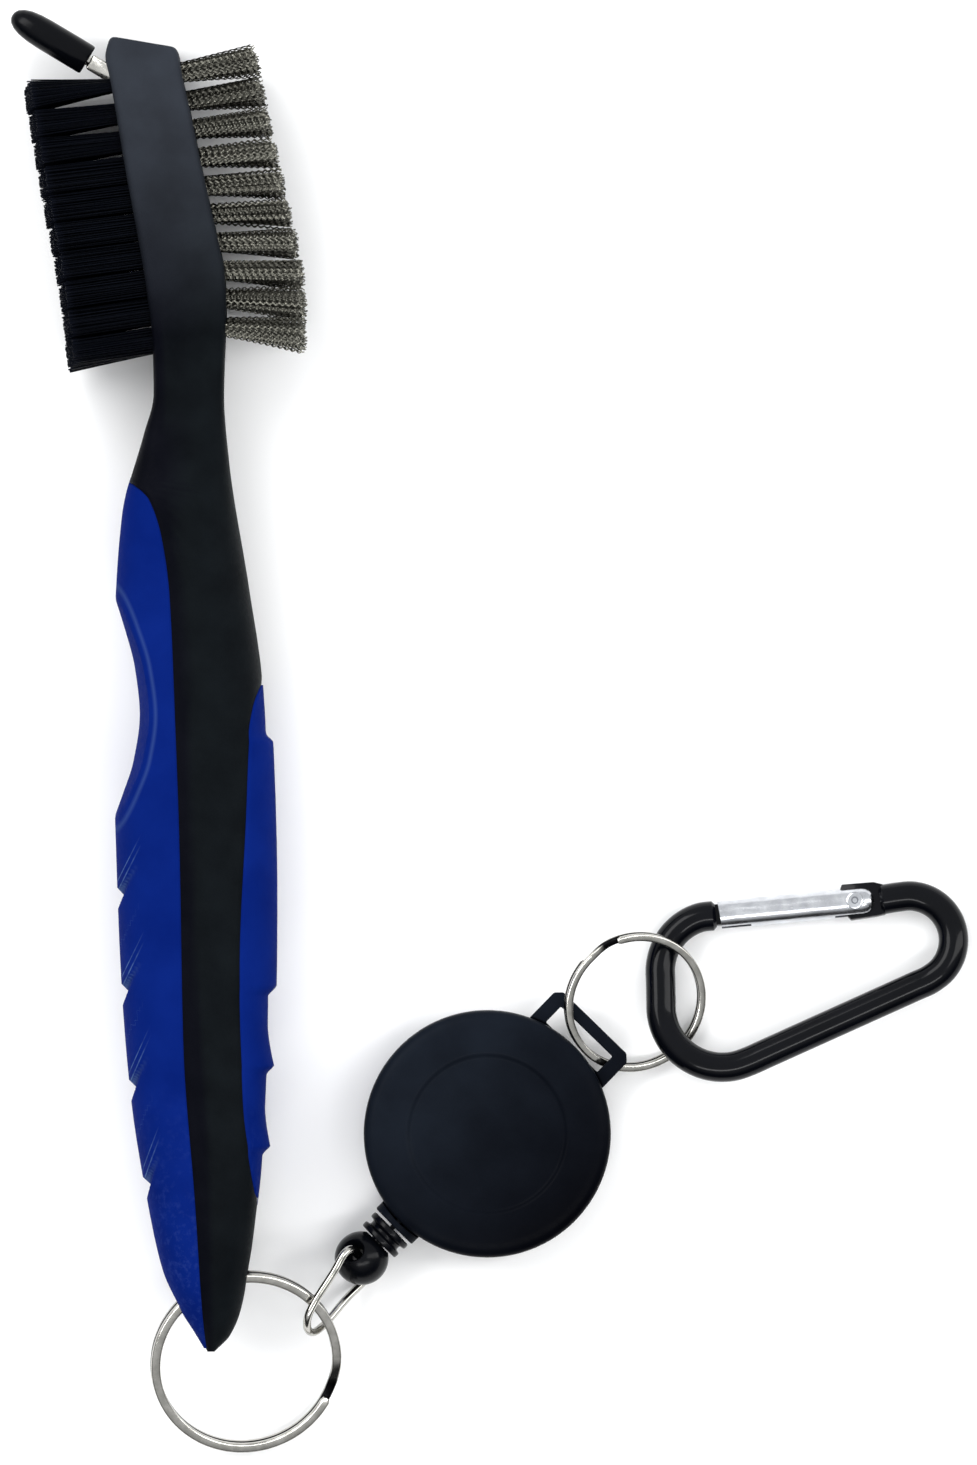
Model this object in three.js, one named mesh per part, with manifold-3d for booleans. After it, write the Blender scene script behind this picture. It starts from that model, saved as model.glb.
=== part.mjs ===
// A club groove brush on a retractable reel, lying flat: millimetres, +Z up, +Y towards the brush head.
// The brush lies on its side, so its front (nylon side) faces -X and its back (steel side) faces +X.
import * as THREE from 'three';
import { mergeVertices } from 'three/addons/utils/BufferGeometryUtils.js';
import Module from 'manifold-3d';

const wasm = await Module();
wasm.setup();

// ---------------------------------------------------------------- driving dimensions
const GAP = 0.3; // clearance between neighbouring pieces
const TAIL = new THREE.Vector3(-41.6, -91.2, 12.5); // tip of the handle, on the brush's middle plane
const GRIP_HALF = 12.3; // half the handle's width across its pads
const HEAD_HALF = 11.2; // half the head's width
const TUFT_ROWS = 10;
const REEL_CENTRE = new THREE.Vector3(-0.66, -59.05, 0);
const REEL_RADIUS = 18.3;
const REEL_DEPTH = 10.6;
const REEL_MID = REEL_DEPTH / 2;
const CORD_ANGLE = THREE.MathUtils.degToRad(224.7); // direction in which the cord leaves the reel
const CORD_RADIUS = 0.4;
const BALL_REACH = 26.2; // reel centre to ball centre

// ---------------------------------------------------------------- colours and finishes
const material = (color, roughness, metalness = 0) => (
  new THREE.MeshStandardMaterial({ color, roughness, metalness })
);
const finish = {
  core: material(0x1d2025, 0.5),
  grip: material(0x10247c, 0.6),
  nylon: material(0x0c0e14, 0.45),
  wire: material(0x6e6e64, 0.35, 1),
  steel: material(0xc8c6be, 0.2, 1),
  casing: material(0x11141c, 0.4),
  fitting: material(0x0b0d12, 0.35),
  cord: material(0x15171c, 0.8),
  spool: material(0xd8d8d2, 0.5),
  spring: material(0x8a8d92, 0.3, 1),
  enamel: material(0x0c0e16, 0.2, 0.3),
  gate: material(0xc9ccd0, 0.25, 1),
};

// ---------------------------------------------------------------- solid helpers
const stripped = (geometry) => {
  const bare = geometry.clone();
  bare.deleteAttribute('normal');
  bare.deleteAttribute('uv');
  return bare;
};
const MERGE_TOLERANCE = 1e-3; // vertices closer than this are one
const toSolid = (geometry) => {
  const merged = mergeVertices(stripped(geometry), MERGE_TOLERANCE);
  return new wasm.Manifold(new wasm.Mesh({
    numProp: 3,
    vertProperties: Float32Array.from(merged.attributes.position.array),
    triVerts: Uint32Array.from(merged.index.array),
  }));
};
const toGeometry = (solid) => {
  const mesh = solid.getMesh();
  const geometry = new THREE.BufferGeometry();
  geometry.setAttribute('position', new THREE.BufferAttribute(mesh.vertProperties, 3));
  geometry.setIndex(new THREE.BufferAttribute(mesh.triVerts, 1));
  geometry.computeVertexNormals();
  return geometry;
};
const join = (...geometries) => toGeometry(wasm.Manifold.union(geometries.map(toSolid)));
const cut = (geometry, ...tools) => (
  toGeometry(toSolid(geometry).subtract(wasm.Manifold.union(tools.map(toSolid))))
);
const common = (a, b) => toGeometry(toSolid(a).intersect(toSolid(b)));

const named = (name, geometry, look) => {
  const mesh = new THREE.Mesh(geometry, look);
  mesh.name = name;
  return mesh;
};
const group = (...children) => {
  const holder = new THREE.Group();
  if (children.length) holder.add(...children);
  return holder;
};
const degrees = THREE.MathUtils.degToRad;
const flat = (points) => points.map(([x, y]) => new THREE.Vector2(x, y));

// A solid of revolution about Z from a profile of [radius, height] points.
const turned = (profile, segments) => new THREE.LatheGeometry(flat(profile), segments).rotateX(Math.PI / 2);
// A plate: an outline in XY pushed up from z0 to z1.
const plate = (outline, z0, z1) => new THREE.ExtrudeGeometry(
  outline instanceof THREE.Shape ? outline : new THREE.Shape(flat(outline)),
  { depth: z1 - z0, bevelEnabled: false, curveSegments: 16 },
).translate(0, 0, z0);
// A round bar between two points.
const bar = (from, to, radius, sides) => {
  const axis = new THREE.Vector3().subVectors(to, from);
  const turn = new THREE.Quaternion()
    .setFromUnitVectors(new THREE.Vector3(0, 1, 0), axis.clone().normalize());
  return new THREE.CylinderGeometry(radius, radius, axis.length(), sides)
    .applyQuaternion(turn)
    .translate(...from.clone().add(to).multiplyScalar(0.5).toArray());
};
// A tube of a given cross-section swept along a curve.
const swept = (section, curve, steps) => new THREE.ExtrudeGeometry(
  new THREE.Shape(section), { extrudePath: curve, steps, bevelEnabled: false },
);
const roundSection = (radius, sides) => Array.from({ length: sides }, (_, i) => {
  const angle = (2 * Math.PI * i) / sides;
  return new THREE.Vector2(radius * Math.cos(angle), radius * Math.sin(angle));
});
// The value at y of a smooth line through [y, value] points.
const along = (points) => {
  const curve = new THREE.SplineCurve(flat(points)).getPoints(points.length * 12);
  return (y) => {
    const next = Math.max(1, curve.findIndex((p) => p.x >= y));
    const [a, b] = [curve[next - 1], curve[next]];
    return THREE.MathUtils.mapLinear(THREE.MathUtils.clamp(y, a.x, b.x), a.x, b.x, a.y, b.y);
  };
};

// ---------------------------------------------------------------- handle outline, measured from the tail tip
const GROOVES = [24.6, 39.0, 53.2, 67.4]; // chevron grooves across the front pad
const FINS = [30.3, 42.2]; // raised lips below the finger pad on the back
const frontLine = along([
  [0, -0.6], [3, -2.4], [6.2, -4.4], [12.4, -7.1], [22.4, -9.3], [36.6, -11.6], [51, -12.9], [64.9, -13.6],
  [77, -13.8], [80.9, -12.9], [87, -11.2], [94.2, -10.4],
  [101, -11.1], [107.5, -12.8], [111.2, -13.9], [123.9, -13.0],
  [135.5, -9.9], [141.6, -8.4], [148, -8.5], [156.6, -9.4], [175, -12.6], [191.1, -15.8], [194.4, -15.2],
]);
const backLine = along([
  [0, 0.6], [2.4, 2.9], [6.2, 4.5], [13.1, 5.8], [20, 6.9],
  [27.4, 7.8], [36, 8.3], [47.3, 8.6], [53, 9.0], [57, 9.8],
  [68.7, 9.9], [82.9, 9.6], [92, 8.6], [99.9, 7.6], [113, 5.7],
  [132.1, 2.7], [141.3, 2.0], [154.7, 2.4], [160, 2.1],
  [164.2, 1.2], [177.4, -1.7], [189.1, -4.2], [194.4, -6.2],
]);
const halfWidth = along([
  [0, 1.6], [4, 5.2], [10, 8.6], [20, 11.0], [36, GRIP_HALF],
  [80, GRIP_HALF], [95, 11.6], [115, 10.6], [130, 8.2],
  [141, 6.6], [148, 8.0], [155, 10.4], [161, HEAD_HALF],
  [176, HEAD_HALF], [190, HEAD_HALF], [194.4, HEAD_HALF - 0.6],
]);
const GROOVE_DEPTH = 1.1;
const GROOVE_FLANK = 2.4; // length of a groove's gentle side, towards the tail
const GROOVE_LIP = 0.4; // length of its steep side, towards the head
const FIN_HEIGHT = 0.9;
const FIN_FLANK = 3;
const grooveDepth = (y, groove) => {
  const inside = y > groove - GROOVE_FLANK && y < groove + GROOVE_LIP;
  return inside ? GROOVE_DEPTH * (1 - Math.abs(y - groove) / GROOVE_FLANK) : 0;
};
const finHeight = (y, fin) => FIN_HEIGHT * Math.max(0, 1 - Math.abs(y - fin) / FIN_FLANK);
const front = (y) => GROOVES.reduce((x, groove) => x + grooveDepth(y, groove), frontLine(y));
const back = (y) => FINS.reduce((x, fin) => x + finHeight(y, fin), backLine(y));
// The power of the rounded section: 3 along the grip, rising to 7 at the head, which is nearly a box.
const boxiness = (y) => THREE.MathUtils.lerp(3, 7, THREE.MathUtils.smoothstep(y, 120, 160));

// A closed skin through rounded sections of the handle, drawn in by an inset.
const handleSkin = (levels, sides, inset = 0) => {
  const rings = levels.map((y) => {
    const middle = (front(y) + back(y)) / 2;
    const reachX = (back(y) - front(y)) / 2 - inset;
    const reachZ = halfWidth(y) - inset;
    const power = 2 / boxiness(y);
    return Array.from({ length: sides }, (_, i) => {
      const angle = (2 * Math.PI * i) / sides;
      const swell = (value) => Math.sign(value) * Math.abs(value) ** power;
      return [middle + reachX * swell(Math.cos(angle)), y, reachZ * swell(Math.sin(angle))];
    });
  });
  const ends = [levels[0], levels[levels.length - 1]].map((y) => [(front(y) + back(y)) / 2, y, 0]);
  const positions = [...rings.flat(), ...ends].flat();
  const lastRing = (rings.length - 1) * sides;
  const tip = rings.length * sides;
  const faces = [];
  for (let i = 0; i < sides; i += 1) {
    const j = (i + 1) % sides;
    for (let ring = 0; ring < lastRing; ring += sides) {
      faces.push(ring + i, ring + sides + i, ring + j, ring + j, ring + sides + i, ring + sides + j);
    }
    faces.push(tip, i, j, tip + 1, lastRing + j, lastRing + i);
  }
  const geometry = new THREE.BufferGeometry();
  geometry.setAttribute('position', new THREE.Float32BufferAttribute(positions, 3));
  geometry.setIndex(faces);
  return geometry;
};
const outerLevels = [
  0, 3, 7, 13, 22.2, 24.6, 25, 30.3, 36.6, 39, 39.4, 42.2, 50.8, 53.2, 53.6, 57, 65, 67.4, 67.8, 79,
  85, 94.2, 104, 111.2, 118, 124, 130, 136, 141.6, 148, 154.7, 160, 176, 191.2, 194.4,
];
const innerLevels = [12, 22, 36, 52, 67, 79, 86, 94, 102, 111, 124, 136];
const PAD_DEPTH = 2.2; // thickness of the soft grip over the core

// The line on each side of the handle where the soft grip meets the core, as [y, x] points.
const frontSeam = [
  [-1, -0.5], [6, -1.1], [22, -2.1], [45, -3.8], [75, -4.4],
  [92, -5.0], [112, -5.9], [120, -7.0], [126, -9.0],
  [129.6, -13.6],
];
const backSeam = [
  [21, 8.2], [23.5, 6.7], [38, 4.8], [57, 4.3], [79, 5.2], [92, 5.8], [96.2, 6.5], [101, 9.0],
];
const FAR = 20; // beyond the handle on every side
const frontRegion = (shift) => {
  const [[start], [end]] = [frontSeam[0], frontSeam[frontSeam.length - 1]];
  const seam = frontSeam.map(([y, x]) => [x + shift, y + shift]);
  return plate([...seam, [-FAR, end + shift], [-FAR, start]], -FAR, FAR);
};
const backRegion = (shift) => {
  const [[start], [end]] = [backSeam[0], backSeam[backSeam.length - 1]];
  const seam = backSeam.map(([y, x]) => [x - shift, y]);
  return plate([...seam, [FAR, end + shift], [FAR, start - shift]].reverse(), -FAR, FAR);
};

// ---------------------------------------------------------------- tail hole and spike slot
const HOLE_TILT = degrees(20);
const HOLE = new THREE.Vector3(0.9, 10.2, 0);
const HOLE_RADIUS = 3.2;
const holeAxis = new THREE.Vector3(Math.cos(HOLE_TILT), Math.sin(HOLE_TILT), 0);
const onHoleAxis = (distance) => HOLE.clone().addScaledVector(holeAxis, distance);
const tailHole = bar(onHoleAxis(-14), onHoleAxis(14), HOLE_RADIUS, 16);
const SPIKE_PIVOT = new THREE.Vector2(-10.3, 186.25);
const PIN_RADIUS = 1;
const PIN_HALF = 8; // half the pivot pin's length
const SLOT_HALF = 1.25;
const SLOT_RADIUS = 2.4; // room round the spike's eye
const ABOVE_HEAD = 197;
const BEFORE_HEAD = -17;
const slotEnd = SPIKE_PIVOT.x + 1.9;
const spikeSlot = join(
  plate(
    new THREE.Shape().absarc(SPIKE_PIVOT.x, SPIKE_PIVOT.y, SLOT_RADIUS, 0, 2 * Math.PI),
    -SLOT_HALF,
    SLOT_HALF,
  ),
  plate([
    [BEFORE_HEAD, SPIKE_PIVOT.y + 1.6], [SPIKE_PIVOT.x - 0.8, SPIKE_PIVOT.y - 2.2],
    [slotEnd, SPIKE_PIVOT.y],
    [slotEnd, ABOVE_HEAD], [BEFORE_HEAD, ABOVE_HEAD],
  ], -SLOT_HALF, SLOT_HALF),
);
// The capped spike passes the head's front corner through a wider notch.
const NOTCH_HALF = 2.65;
const NOTCH_BACK = -12.2; // the notch's inner side
const NOTCH_FLOOR = 192.4;
const capNotch = plate([
  [BEFORE_HEAD, NOTCH_FLOOR], [NOTCH_BACK, NOTCH_FLOOR],
  [NOTCH_BACK, ABOVE_HEAD], [BEFORE_HEAD, ABOVE_HEAD],
], -NOTCH_HALF, NOTCH_HALF);
// A round cutter or pin along Z, centred on the plane z = 0.
const pin = (radius, half, sides) => turned([[0, -half], [radius, -half], [radius, half], [0, half]], sides);
const pinBore = pin(PIN_RADIUS + GAP, PIN_HALF + GAP, 12).translate(SPIKE_PIVOT.x, SPIKE_PIVOT.y, 0);

// ---------------------------------------------------------------- tufts
const SOCKET_DEPTH = 3.4;
const ROOT_SHARE = 0.45; // a tuft's root radius over its tip radius
const { lerp } = THREE.MathUtils;
// Where each row leaves the head, which way it points and how long it is.
const nylonRow = (row) => {
  const t = (row - 1) / (TUFT_ROWS - 1);
  const y = lerp(187.2, 149.6, t);
  return { x: front(y), y, angle: degrees(lerp(186.4, 188.6, t)), length: 12.0 };
};
const steelRow = (row) => {
  const t = (row - 1) / (TUFT_ROWS - 1);
  const y = lerp(189.3, 151.6, t);
  return { x: back(y), y, angle: degrees(lerp(11.5, -3.0, t ** 0.9)), length: 10.8 + 0.6 * t };
};
const NYLON_COLUMNS = { spots: [-7.8, -2.6, 2.6, 7.8], tip: 2.9 };
const STEEL_COLUMNS = { spots: [-6.2, 0, 6.2], tip: 3.3 };
const SQUEEZE = 0.62; // a tuft is narrower along the brush than across it
const tuftAt = (geometry, place, z) => geometry
  .scale(SQUEEZE, 1, 1)
  .rotateZ(place.angle - Math.PI / 2)
  .translate(place.x, place.y, z);
const tuftRow = (place, columns) => join(...columns.spots.map((z) => {
  const root = columns.tip * ROOT_SHARE;
  const { tip } = columns;
  const { length } = place;
  const profile = [[0, -SOCKET_DEPTH], [root, -SOCKET_DEPTH], [root, 1], [tip, length], [0, length]];
  return tuftAt(new THREE.LatheGeometry(flat(profile), 6), place, z);
}));
const sockets = (place, columns) => columns.spots.map((z) => {
  const radius = columns.tip * ROOT_SHARE + (1.3 * GAP) / SQUEEZE;
  const depth = SOCKET_DEPTH + GAP;
  const hole = new THREE.LatheGeometry(flat([[0, -depth], [radius, -depth], [radius, 3], [0, 3]]), 6);
  return tuftAt(hole, place, z);
});
const rows = Array.from({ length: TUFT_ROWS }, (_, i) => i + 1);

// ---------------------------------------------------------------- brush
const buildHandle = () => {
  const skin = handleSkin(outerLevels, 16);
  const padCavity = (extra) => handleSkin([5 + extra, ...innerLevels], 12, PAD_DEPTH + extra);
  const frontCut = cut(frontRegion(GAP), padCavity(GAP));
  const backCut = cut(backRegion(GAP), padCavity(GAP));
  const allSockets = rows.flatMap((row) => [
    ...sockets(nylonRow(row), NYLON_COLUMNS), ...sockets(steelRow(row), STEEL_COLUMNS),
  ]);
  const core = cut(skin, frontCut, backCut, tailHole, spikeSlot, capNotch, pinBore, ...allSockets);
  const pad = (region) => cut(common(skin, region(0)), padCavity(0), tailHole);
  return [
    named('handle_core', core, finish.core),
    named('front_grip', pad(frontRegion), finish.grip),
    named('back_grip', pad(backRegion), finish.grip),
  ];
};
const buildTufts = () => rows.flatMap((row) => {
  const label = String(row).padStart(2, '0');
  return [
    named(`nylon_tufts_row_${label}`, tuftRow(nylonRow(row), NYLON_COLUMNS), finish.nylon),
    named(`steel_tufts_row_${label}`, tuftRow(steelRow(row), STEEL_COLUMNS), finish.wire),
  ];
});

// The folding spike is drawn along +X from its pivot and then turned to its resting angle.
const SPIKE_ANGLE = degrees(148.9);
const buildSpike = () => {
  const eye = plate(new THREE.Shape().absarc(0, 0, 2.05, 0, 2 * Math.PI), -0.9, 0.9);
  const arm = plate([[0, -1.2], [8.8, -1.2], [8.8, 1.2], [0, 1.2]], -0.85, 0.85);
  const point = turned([[0, 8.4], [0.8, 8.4], [0.8, 18], [0, 20.6]], 10).rotateY(Math.PI / 2);
  const pivotHole = pin(PIN_RADIUS + GAP, 3, 12);
  const blade = cut(join(eye, arm, point), pivotHole);
  const capProfile = [
    [1.3, 9.2], [2.2, 9.2], [2.3, 9.6], [2.3, 18.3], [1.9, 20.4],
    [1.0, 21.8], [0, 22.2], [0, 21.1], [1.3, 21.1],
    [1.3, 9.2],
  ];
  const cap = turned(capProfile, 16).rotateY(Math.PI / 2);
  const spike = group(
    named('spike_pivot_pin', pin(PIN_RADIUS, PIN_HALF, 12), finish.steel),
    named('spike_blade', blade, finish.steel),
    named('spike_cap', cap, finish.fitting),
  );
  spike.position.set(SPIKE_PIVOT.x, SPIKE_PIVOT.y, 0);
  spike.rotation.z = SPIKE_ANGLE;
  return spike;
};

// ---------------------------------------------------------------- split rings
// Two flat turns of strip wire joined by a short crossover, lying in the XY plane.
const splitRing = ({ radius, strip, turnHeight, start }) => {
  const crossover = degrees(24);
  const spare = degrees(4);
  const offset = turnHeight / 2 + 0.05;
  const from = start + crossover / 2 + spare;
  const to = start + 4 * Math.PI - crossover / 2 - spare;
  const middle = start + 2 * Math.PI;
  const steps = 48;
  const points = Array.from({ length: steps + 1 }, (_, i) => {
    const angle = lerp(from, to, i / steps);
    const rise = THREE.MathUtils.smoothstep(angle, middle - crossover / 2, middle + crossover / 2);
    return new THREE.Vector3(radius * Math.cos(angle), radius * Math.sin(angle), lerp(-offset, offset, rise));
  });
  const [high, wide] = [turnHeight / 2, strip / 2];
  const section = flat([[-high, -wide], [high, -wide], [high, wide], [-high, wide]]);
  return swept(section, new THREE.CatmullRomCurve3(points), steps);
};
const BIG_RING = { radius: 13.5, strip: 1.4, turnHeight: 0.95, start: degrees(-30) };
const SMALL_RING = { radius: 10.2, strip: 1.15, turnHeight: 0.7, start: degrees(84) };
const BIG_TILT = degrees(22);
const ringAxisX = holeAxis.clone();
const ringAxisY = new THREE.Vector3(-Math.sin(HOLE_TILT), Math.cos(HOLE_TILT), 0)
  .multiplyScalar(Math.cos(BIG_TILT)).add(new THREE.Vector3(0, 0, Math.sin(BIG_TILT)));
const bigRingCentre = TAIL.clone().add(HOLE).addScaledVector(ringAxisY, -BIG_RING.radius);
const buildHandleRing = () => {
  const ring = named('handle_split_ring', splitRing(BIG_RING), finish.steel);
  const turn = new THREE.Matrix4().makeBasis(ringAxisX, ringAxisY, ringAxisX.clone().cross(ringAxisY));
  ring.quaternion.setFromRotationMatrix(turn);
  ring.position.copy(bigRingCentre);
  return ring;
};

// ---------------------------------------------------------------- cord end and wire link
const cordAxis = new THREE.Vector3(Math.cos(CORD_ANGLE), Math.sin(CORD_ANGLE), 0);
const ballCentre = REEL_CENTRE.clone().addScaledVector(cordAxis, BALL_REACH).setZ(REEL_MID);
const BALL_RADIUS = 4;
const BALL_ROLL = degrees(27.4);
const ballHoleAxis = new THREE.Vector3(-Math.sin(CORD_ANGLE), Math.cos(CORD_ANGLE), 0)
  .multiplyScalar(-Math.sin(BALL_ROLL)).add(new THREE.Vector3(0, 0, Math.cos(BALL_ROLL)));
const LINK_ANGLE = degrees(15.5); // place of the link on the big ring, from the hole's axis
const LINK_WIRE = 0.6;
const SEAT_RADIUS = 3.4; // radius of the link's bend round the big ring
const SEAT_SHIFT = 0.3; // the bend sits a little below the ring's middle
const linkSeat = bigRingCentre.clone()
  .addScaledVector(ringAxisX, BIG_RING.radius * Math.cos(LINK_ANGLE))
  .addScaledVector(ringAxisY, BIG_RING.radius * Math.sin(LINK_ANGLE));
const buildLink = () => {
  const reach = new THREE.Vector3().subVectors(linkSeat, ballCentre);
  const length = reach.length();
  const ahead = reach.clone().normalize();
  const lean = ballHoleAxis.dot(ahead);
  const across = ballHoleAxis.clone().addScaledVector(ahead, -lean).normalize();
  const place = (side, forward) => (
    ballCentre.clone().addScaledVector(across, side).addScaledVector(ahead, forward)
  );
  const throughBall = (distance) => ballCentre.clone().addScaledVector(ballHoleAxis, distance);
  const bend = [-80, -40, 0, 40, 80].map(degrees).map((angle) => (
    place(-SEAT_RADIUS * Math.sin(angle) - SEAT_SHIFT, length + SEAT_RADIUS * Math.cos(angle))
  ));
  const curve = new THREE.CatmullRomCurve3([
    throughBall(1.5), throughBall(2.8), throughBall(4.6).addScaledVector(ahead, 0.15),
    throughBall(5.3).addScaledVector(ahead, 1.3), place(4.2, length * 0.55), ...bend,
    place(-4.2, length * 0.5), throughBall(-5.3).addScaledVector(ahead, 1.3),
    throughBall(-4.6).addScaledVector(ahead, 0.15), throughBall(-2.8), throughBall(-1.5),
  ], false, 'centripetal');
  const crossBar = bar(throughBall(-2.2), throughBall(2.2), LINK_WIRE + 0.03, 8);
  return named('wire_link', join(swept(roundSection(LINK_WIRE, 5), curve, 36), crossBar), finish.steel);
};

// The cord end is turned about its own axis, drawn along +X with distances from the reel's centre.
const buildCordEnd = () => {
  const onAxis = (profile, sides) => turned(profile, sides).rotateY(Math.PI / 2);
  const sleeve = onAxis([
    [1.6, 19.9], [3.45, 19.9], [3.45, 20.8], [2.7, 20.95],
    [2.7, 21.65], [3.4, 21.8], [3.4, 22.7], [1.6, 22.7],
    [1.6, 19.9],
  ], 20);
  const stemMeetsBall = 146; // degrees from the ball's far end to its stem
  const ballArc = Array.from({ length: 9 }, (_, i) => {
    const angle = degrees(stemMeetsBall * (i / 8));
    return [BALL_RADIUS * Math.sin(angle), BALL_REACH + BALL_RADIUS * Math.cos(angle)];
  });
  const ballAndStem = onAxis([
    ...ballArc, [2.2, 23.0], [1.2, 23.0], [1.2, 20.1], [0.75, 20.1], [0.75, 24.6], [0, 24.6],
  ].reverse(), 16);
  const crossHole = new THREE.LatheGeometry(flat([
    [0, -5], [2.0, -5], [1.2, -3.0], [1.2, 3.0], [2.0, 5], [0, 5],
  ]), 12);
  const holeTurn = new THREE.Quaternion().setFromUnitVectors(
    new THREE.Vector3(0, 1, 0),
    ballHoleAxis.clone().applyAxisAngle(new THREE.Vector3(0, 0, 1), -CORD_ANGLE),
  );
  crossHole.applyQuaternion(holeTurn).translate(BALL_REACH, 0, 0);
  const lead = new THREE.CatmullRomCurve3([
    [11.5, 8.8, -0.6], [13.2, 5.9, -0.4], [14.8, 3.0, -0.1], [15.9, 1.0, 0],
    [16.9, 0.1, 0], [19, 0, 0], [21.5, 0, 0],
    [24.2, 0, 0],
  ].map(([x, y, z]) => new THREE.Vector3(x, y, z)));
  const end = group(
    named('ribbed_sleeve', sleeve, finish.fitting),
    named('cord_ball', cut(ballAndStem, crossHole), finish.fitting),
    named('cord_lead', swept(roundSection(CORD_RADIUS, 6), lead, 18), finish.cord),
  );
  end.position.copy(REEL_CENTRE).setZ(REEL_MID);
  end.rotation.z = CORD_ANGLE;
  return end;
};

// ---------------------------------------------------------------- reel, its cord leaving along +X
const WALL = 1.35;
const RECESS_RADIUS = 11.35;
const LOOP_HALF = 0.85; // half the strap loop's thickness
const buildReel = () => {
  const split = REEL_MID;
  const frontProfile = [
    [0, 10.1], [0, 8.75], [16.6, 8.75], [REEL_RADIUS - WALL, 8.3], [REEL_RADIUS - WALL, split + GAP / 2],
    [REEL_RADIUS, split + GAP / 2], [REEL_RADIUS, 9.2], [17.9, 9.95], [16.9, 10.4], [14.2, REEL_DEPTH],
    [RECESS_RADIUS + 0.5, REEL_DEPTH], [RECESS_RADIUS, 10.1], [0, 10.1],
  ];
  const backProfile = [
    [0, 0], [16.9, 0], [17.9, 0.4], [REEL_RADIUS, 1.3], [REEL_RADIUS, split - GAP / 2],
    [REEL_RADIUS - WALL, split - GAP / 2], [REEL_RADIUS - WALL, 1.4], [2.2, 1.4],
    [2.2, 8.4], [0, 8.4], [0, 0],
  ];
  const frontShell = turned(frontProfile, 32);
  const collar = turned([[0, 17.3], [3.75, 17.3], [3.75, 19.5], [0, 19.5]], 20)
    .rotateY(Math.PI / 2).translate(0, 0, REEL_MID);
  const cordBore = bar(new THREE.Vector3(15, 0, REEL_MID), new THREE.Vector3(21, 0, REEL_MID), 0.95, 10);
  const loop = plate(loopOutline(), REEL_MID - LOOP_HALF, REEL_MID + LOOP_HALF).rotateZ(degrees(-178.9));
  const upTo12 = (radius, low) => turned([[0, low], [radius, low], [radius, 12], [0, 12]], 32);
  const frontRoom = upTo12(REEL_RADIUS + GAP, split - GAP / 2);
  const inside = upTo12(REEL_RADIUS - WALL, 1.4);
  const fittings = cut(join(collar, loop), frontRoom, inside);
  const backShell = cut(join(turned(backProfile, 32), fittings), cordBore);
  const spool = turned([
    [2.6, 1.9], [15.9, 1.9], [15.9, 2.6], [10.2, 2.6], [10.2, 7.1],
    [15.9, 7.1], [15.9, 7.8], [9.2, 7.8], [9.2, 2.7],
    [2.6, 2.7], [2.6, 1.9],
  ], 22);
  const reel = group(
    named('reel_front_shell', cut(frontShell, cordBore), finish.casing),
    named('reel_back_shell', backShell, finish.casing),
    named('spool', spool, finish.spool),
    named('power_spring', powerSpring(), finish.spring),
    named('wound_cord', woundCord(), finish.cord),
  );
  reel.position.copy(REEL_CENTRE);
  reel.rotation.z = CORD_ANGLE;
  return reel;
};
// The strap loop, drawn along +X: a frame with clipped outer corners.
const loopOutline = () => {
  const frame = [[15.5, -7.5], [21.9, -7.5], [22.9, -6.5], [22.9, 6.5], [21.9, 7.5], [15.5, 7.5]];
  const outline = new THREE.Shape(flat(frame));
  outline.holes.push(new THREE.Path(flat([[17.9, -5.3], [17.9, 5.3], [21.1, 5.3], [21.1, -5.3]])));
  return outline;
};
// Strip steel wound in a flat spiral between the post and the spool's hub.
const powerSpring = () => {
  const turns = 4.5;
  const strip = 0.3;
  const steps = 46;
  const edge = (offset) => Array.from({ length: steps + 1 }, (_, i) => {
    const angle = 2 * Math.PI * turns * (i / steps);
    const radius = lerp(2.7, 8.7, i / steps) + offset;
    return [radius * Math.cos(angle), radius * Math.sin(angle)];
  });
  return plate([...edge(strip / 2), ...edge(-strip / 2).reverse()], 3.1, 6.9);
};
// The stowed cord: layers of a helix wound up and down the hub, each layer outside the last.
const woundCord = () => {
  const turnsPerLayer = 2.6;
  const layers = 3;
  const steps = Math.round(12 * turnsPerLayer * layers);
  const points = Array.from({ length: steps + 1 }, (_, i) => {
    const turn = (turnsPerLayer * layers * i) / steps;
    const layer = Math.min(layers - 1, Math.floor(turn / turnsPerLayer));
    const part = turn / turnsPerLayer - layer;
    const ramp = layer < layers - 1 ? THREE.MathUtils.smoothstep(part, 0.85, 1) : 0;
    const radius = 11.2 + 1.15 * (layer + ramp);
    const height = layer % 2 === 0 ? lerp(3.4, 6.2, part) : lerp(6.2, 3.4, part);
    const angle = 2 * Math.PI * turn;
    return new THREE.Vector3(radius * Math.cos(angle), radius * Math.sin(angle), height);
  });
  return swept(roundSection(CORD_RADIUS, 4), new THREE.CatmullRomCurve3(points), steps);
};

// ---------------------------------------------------------------- small split ring
const SMALL_RING_CENTRE = new THREE.Vector3(21.2, -39.53, 5.2);
const SMALL_TILT = degrees(23.5);
const SMALL_HIGH_SIDE = degrees(130); // direction of the ring's raised side
const buildReelRing = () => {
  const ring = named('reel_split_ring', splitRing(SMALL_RING), finish.steel);
  ring.rotation.order = 'ZXY';
  ring.rotation.set(SMALL_TILT, 0, SMALL_HIGH_SIDE - Math.PI / 2);
  ring.position.copy(SMALL_RING_CENTRE);
  return ring;
};

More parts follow.
